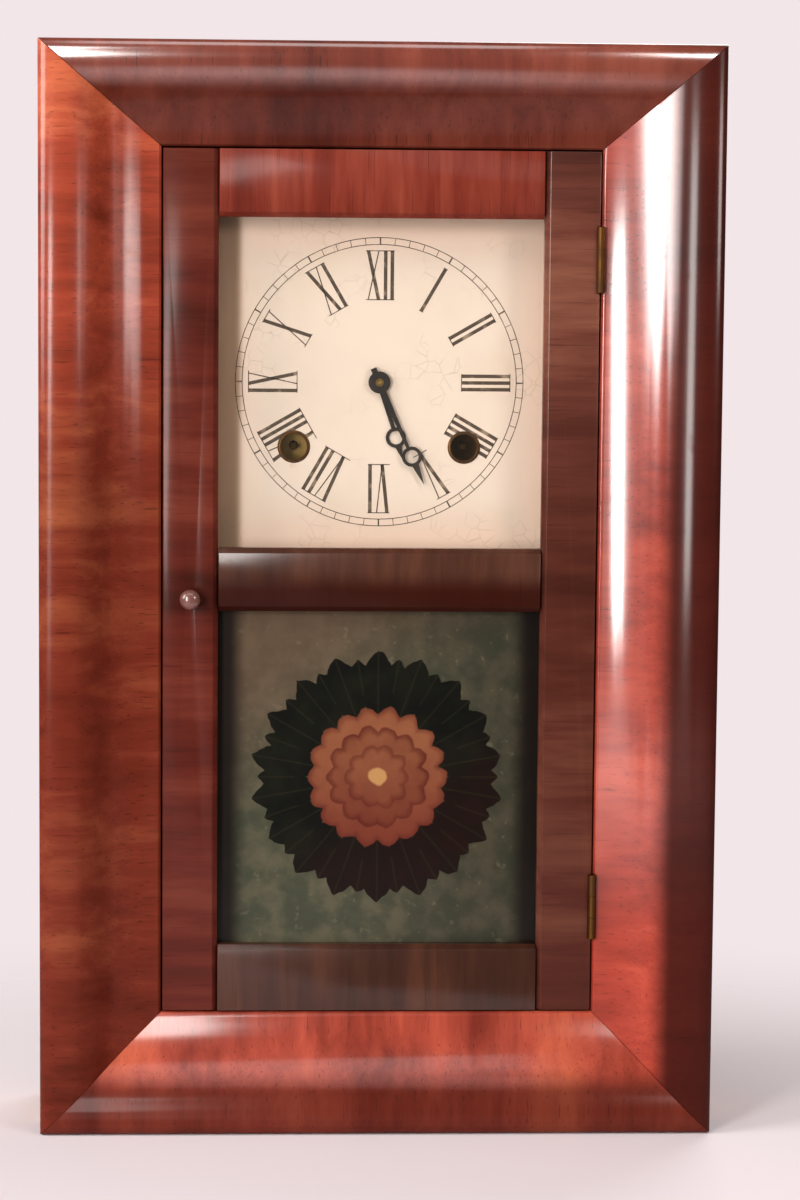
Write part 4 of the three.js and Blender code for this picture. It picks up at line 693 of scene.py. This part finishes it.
# %% Minute ring, and the paint round the holes
ring_lines = ((80.2 * MM, 80.7 * MM), (84.2 * MM, 84.7 * MM))
ring_segments = 120
mark_low, mark_high = 80.5 * MM, 84.4 * MM
hour_mark, minute_mark = 0.45 * MM, 0.2 * MM  # half their widths
for inner, outer in ring_lines:
    circle = bmesh.ops.create_circle(
        lettering, cap_ends=False, radius=outer, segments=ring_segments
    )["verts"]
    place = Matrix.Translation(paint_centre) @ Matrix.Rotation(math.pi / 2, 4, "X")
    bmesh.ops.transform(lettering, matrix=place, verts=circle)
    edges = list(dict.fromkeys(edge for vert in circle for edge in vert.link_edges))
    grown = bmesh.ops.extrude_edge_only(lettering, edges=edges)["geom"]
    for vert in grown:
        if isinstance(vert, bmesh.types.BMVert):
            vert.co = paint_centre + (vert.co - paint_centre) * (inner / outer)
for minute in range(60):
    half = hour_mark if minute % 5 == 0 else minute_mark
    marks = [(-half, mark_low), (half, mark_low), (half, mark_high), (-half, mark_high)]
    flat_quad(lettering, marks, minute / 5)

drum_places = {name: middle_of(name + "_drum") for name in ("time", "strike")}
hole_radius, near_hole = 8.4 * MM, 30 * MM
longest_edge, rounds = 1.2 * MM, 4


def by_a_hole(point, reach):
    """Whether a point is closer than reach to the axis of a winding hole."""
    return any(
        (Vector((point.x, 0, point.z)) - Vector((hole.x, 0, hole.z))).length < reach
        for hole in drum_places.values()
    )


for _ in range(rounds):
    long_edges = [
        edge for edge in lettering.edges
        if edge.calc_length() > longest_edge and any(by_a_hole(vert.co, near_hole) for vert in edge.verts)
    ]
    bmesh.ops.subdivide_edges(lettering, edges=long_edges, cuts=1, use_grid_fill=True)
over_holes = [face for face in lettering.faces if by_a_hole(face.calc_center_median(), hole_radius)]
bmesh.ops.delete(lettering, geom=over_holes, context="FACES")
print(len(over_holes), "faces taken away over the winding holes")

# %% [markdown]
# The black paint has worn in places, so a noise lets some of the cream through. A Mix Shader could fade it
# out, but mixing the two colours does the same on a flat film.

# %% Black paint for the letters
def letter_paint():
    finish = Finish("faded_black_paint", specular_ior_level=0.3)
    worn = finish.noise(finish.place(), 170, detail=4).step(0.5, 0.72)
    colour = finish.mix(worn * 0.65, rgb(76, 62, 49), rgb(176, 154, 128))
    finish.feed(base_color=colour, roughness=0.55 + worn * 0.2)
    return finish.material


piece("dial_numerals", lettering, letter_paint(), "case", smooth=False)

# %% [markdown]
# ## Winding hole collets
# A pressed brass ring lines each hole of the dial and hides the raw edge of the paint. Its rounded
# section is drawn once and spun round the hole's axis.

# %% Spin the collets
same_place = 1e-7
collet_steps, collet_corner = 48, math.radians(40)
# The collet's section: radius, and depth behind the dial's face, in millimetres.
collet_section = (
    (7.7, 0.2), (7.7, -0.5), (8.1, -0.8), (8.9, -0.7), (9.6, -0.15), (9.6, -0.02), (8.0, -0.02), (8.0, 0.2),
)


def spun(profile, centre, steps):
    """A closed section of radius and depth points, spun round an axis along Y."""
    mesh = bmesh.new()
    ring = [mesh.verts.new((centre.x + r, y, centre.z)) for r, y in profile]
    edges = [mesh.edges.new(pair) for pair in zip(ring, ring[1:] + ring[:1])]
    bmesh.ops.spin(
        mesh, geom=ring + edges, cent=(centre.x, 0, centre.z), axis=(0, 1, 0), angle=full_turn, steps=steps,
        use_merge=True,
    )
    bmesh.ops.remove_doubles(mesh, verts=mesh.verts, dist=same_place)
    return mesh


section = [(radius * MM, dial_front + depth * MM) for radius, depth in collet_section]
for name, hole in drum_places.items():
    ring = spun(section, hole, collet_steps)
    crisp(piece(name + "_winding_collet", ring, shaded_brass, "case"), collet_corner)

# %% [markdown]
# ## Door knob
# The solid knob has few sides. A rounder one is spun from the same section and stands in for it.

# %% Spin the knob
knob_steps, knob_corner = 40, math.radians(50)
knob_front, knob_back = (corner_place.y for corner_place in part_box("door_knob"))
stile_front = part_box("door_left_stile")[0].y
length = stile_front - knob_front
pole, knob_out, neck, spindle = 0.02 * MM, 6 * MM, 3.4 * MM, 2 * MM  # radii
# Shares of the ball's or the neck's radius, and of the length that stands out of the stile.
ball_shares = ((0.30, 0.01), (0.62, 0.06), (0.88, 0.17), (0.99, 0.32), (0.97, 0.46), (0.82, 0.60))
neck_shares = ((1.05, 0.74), (1.0, 0.82), (1.15, 0.93), (1.3, 0.97))
outline = [
    (pole, knob_front),
    *((out * knob_out, knob_front + along * length) for out, along in ball_shares),
    *((out * neck, knob_front + along * length) for out, along in neck_shares),
    (spindle, knob_front + 0.975 * length), (spindle, knob_back), (pole, knob_back),
]
ball = spun(outline, middle_of("door_knob"), knob_steps)
knob = piece("pale_door_knob", ball, pale_glaze, "latch")
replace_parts(crisp(knob, knob_corner), "door_knob")

# %% [markdown]
# ## Weight cords
# Each weight hangs from a cord that winds on a drum, passes over a pulley under the top board and drops
# to the weight's hook. A curve with a round bevel follows that route exactly. The drop shortens as the
# weight is wound up, and it is a mesh of its own.

# %% Cords along their route
cord_radius = 0.9 * MM


def cord_tube(name, points, body, node):
    """A round cord through the points, in the place of a node of the frame."""
    line = bpy.data.curves.new(name + "_line", "CURVE")
    line.dimensions = "3D"
    line.bevel_depth = cord_radius
    line.bevel_resolution = 3
    line.use_fill_caps = True
    spline = line.splines.new("POLY")
    spline.points.add(len(points) - 1)
    for point, place in zip(spline.points, points):
        point.co = (*place, 1)
    route = bpy.data.objects.new(name + "_route", line)
    bpy.context.scene.collection.objects.link(route)
    bpy.context.view_layer.update()
    tube = bmesh.new()
    tube.from_mesh(route.to_mesh())
    route.to_mesh_clear()
    bpy.data.objects.remove(route)
    bmesh.ops.remove_doubles(tube, verts=tube.verts, dist=weld_distance)
    made = piece(name, tube, linen, body)
    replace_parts(made, node)
    return made


drum_reach, pulley_reach, cord_turns, cord_pitch = 13.2 * MM, 14 * MM, 1.25, 2.6 * MM
drum_steps, pulley_steps, drop_steps = 60, 24, 24


def cord_route(name):
    """Round the drum, up the tangent and over the pulley, drawn for the right side and then mirrored."""
    side = 1 if name == "time" else -1
    pulley, drum = middle_of(name + "_pulley"), drum_places[name]
    plane = pulley.y
    over, drum = Vector((pulley.x * side, pulley.z)), Vector((drum.x * side, drum.z))
    span = over - drum
    lean = math.atan2(span.y, span.x) + math.acos((drum_reach - pulley_reach) / span.length)
    points = []
    for i in range(drum_steps + 1):
        left = 1 - i / drum_steps
        angle = lean + left * cord_turns * full_turn
        out, rise = drum_reach * math.cos(angle), drum_reach * math.sin(angle)
        points.append((side * (drum.x + out), plane + left * cord_turns * cord_pitch, drum.y + rise))
    for i in range(pulley_steps + 1):
        angle = lean * (1 - i / pulley_steps)
        out, rise = pulley_reach * math.cos(angle), pulley_reach * math.sin(angle)
        points.append((side * (over.x + out), plane, over.y + rise))
    return points


for name in drum_places:
    cord_tube(name + "_weight_cord", cord_route(name), "case", name + "_cord")
    low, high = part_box(name + "_cord_drop")
    x, y, _ = (low + high) / 2
    drop = [(x, y, high.z + (low.z - high.z) * i / drop_steps) for i in range(drop_steps + 1)]
    hanging = cord_tube(name + "_hanging_cord", drop, "case", name + "_cord_drop")
    joint = name + "_weight_lift"
    lift = next(j for j in frame["joints"] if j["name"] == joint)["range_m"][1]
    reach = high.z - low.z
    1 - lift / reach
    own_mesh(hanging)
    print(name, "cord drop", round(reach, 3), "m, shortens by", lift)

# %% [markdown]
# ## Floor
# The clock stands on a pale floor in a plain studio. A floor that ran on to the horizon would draw a line
# behind the clock; this one thins out into the background instead, by an alpha that falls with distance.

# %% Pale floor
# The fade: the Y of its centre, and how far from there the floor is whole and gone.
floor_centre, floor_whole, floor_gone = -0.25, 0.3, 0.85
floor_half = 6
floor_drop = 0.5 * MM  # so that the case's foot doesn't share its plane


def floor_paint():
    finish = Finish("pale_floor", specular_ior_level=0.1)
    cloud = finish.noise(finish.place(), 3, detail=3)
    colour = finish.mix(cloud, rgb(236, 228, 232), rgb(242, 234, 238))
    finish.feed(base_color=colour, roughness=0.8 + cloud * 0.1)
    x, y, _ = finish.parts(finish.place())
    finish.feed(alpha=finish.distance(x, y - floor_centre).step(floor_gone, floor_whole))
    return finish.material


ground = bmesh.new()
bmesh.ops.create_grid(ground, x_segments=1, y_segments=1, size=floor_half)
floor_data = bpy.data.meshes.new("floor")
ground.to_mesh(floor_data)
ground.free()
floor_data.materials.append(floor_paint())
floor = bpy.data.objects.new("floor", floor_data)
floor.location.z = -floor_drop
bpy.context.scene.collection.objects.link(floor)
print("floor", 2 * floor_half, "m wide")

# %% [markdown]
# ## Background
# The background is pale to the camera and to rays that pass through glass. If it were as bright for every
# ray, it would light the clock from all sides and wash the gleams out, so a Light Path node shows other
# rays a dim room. A glossy ray sees the pale background only where it leaves well away from the camera,
# towards +Y, as it does off the floor and off edges seen at a slant.

# %% World
backdrop_colour, room_colour, room_strength = rgb(243, 230, 232), (1, 0.97, 0.96), 0.1
glossy_start, glossy_full = 0.3, 0.85  # shares of a ray's way that are towards +Y
bpy.context.scene.view_settings.view_transform = "Standard"
world = bpy.data.worlds.new("studio")
bpy.context.scene.world = world
world.use_nodes = True
sky = world.node_tree
backdrop = sky.nodes.new("ShaderNodeBackground")
backdrop.inputs["Color"].default_value = (*backdrop_colour, 1)
room_light = sky.nodes["Background"]
room_light.inputs["Color"].default_value = (*room_colour, 1)
room_light.inputs["Strength"].default_value = room_strength
rays = sky.nodes.new("ShaderNodeLightPath")
ray_way = sky.nodes.new("ShaderNodeTexCoord")
split_way = sky.nodes.new("ShaderNodeSeparateXYZ")
sky.links.new(ray_way.outputs["Generated"], split_way.inputs[0])
behind = sky.nodes.new("ShaderNodeMapRange")
behind.inputs["From Min"].default_value = glossy_start
behind.inputs["From Max"].default_value = glossy_full
sky.links.new(split_way.outputs["Y"], behind.inputs["Value"])
mirrored = sky.nodes.new("ShaderNodeMath")
mirrored.operation = "MULTIPLY"
sky.links.new(rays.outputs["Is Glossy Ray"], mirrored.inputs[0])
sky.links.new(behind.outputs["Result"], mirrored.inputs[1])
seen = mirrored.outputs[0]
for kind in ("Is Camera Ray", "Is Transmission Ray"):
    either = sky.nodes.new("ShaderNodeMath")
    either.operation = "MAXIMUM"
    sky.links.new(seen, either.inputs[0])
    sky.links.new(rays.outputs[kind], either.inputs[1])
    seen = either.outputs[0]
chosen = sky.nodes.new("ShaderNodeMixShader")
sky.links.new(seen, chosen.inputs["Fac"])
sky.links.new(room_light.outputs[0], chosen.inputs[1])
sky.links.new(backdrop.outputs[0], chosen.inputs[2])
sky.links.new(chosen.outputs[0], sky.nodes["World Output"].inputs["Surface"])
print("world", world.name)

# %% [markdown]
# ## Lights
# Area lights give the soft-edged gleams that the polish shows in the photograph; a sun or a point light
# would give dots. A broad one at the left and a narrow one nearer the camera draw the long gleams down the
# side members. A small one at the right lights the inner slope of the left member, one overhead catches
# the lower member, and one behind the clock brightens the floor.

# %% Five soft lights
def soft_light(name, place, width, height, watts, colour):
    """An area light of a size in metres, turned to the middle of the clock."""
    lamp = bpy.data.lights.new(name, "AREA")
    lamp.shape = "RECTANGLE"
    lamp.size, lamp.size_y = width, height
    lamp.energy = watts
    lamp.color = colour
    made = bpy.data.objects.new(name, lamp)
    made.location = place
    made.rotation_euler = (clock_middle - Vector(place)).to_track_quat("-Z", "Y").to_euler()
    bpy.context.scene.collection.objects.link(made)
    print("light", name)


clock_middle = Vector((0, 0, 0.32))
soft_light("window_left", (-1.75, -0.75, 1.2), 1.0, 1.15, 32, (1.0, 0.95, 0.93))
soft_light("tall_streak", (-0.95, -1.75, 0.56), 0.4, 1.15, 28, (1.0, 0.96, 0.93))
soft_light("overhead", (-0.1, -0.95, 1.75), 1.4, 0.7, 7, (1.0, 0.97, 0.96))
soft_light("right_window", (1.2, -1.35, 0.95), 0.5, 0.42, 11, (1.0, 0.86, 0.82))
soft_light("behind", (0.9, 1.9, 1.3), 1.4, 1.0, 26, (1.0, 0.97, 0.95))
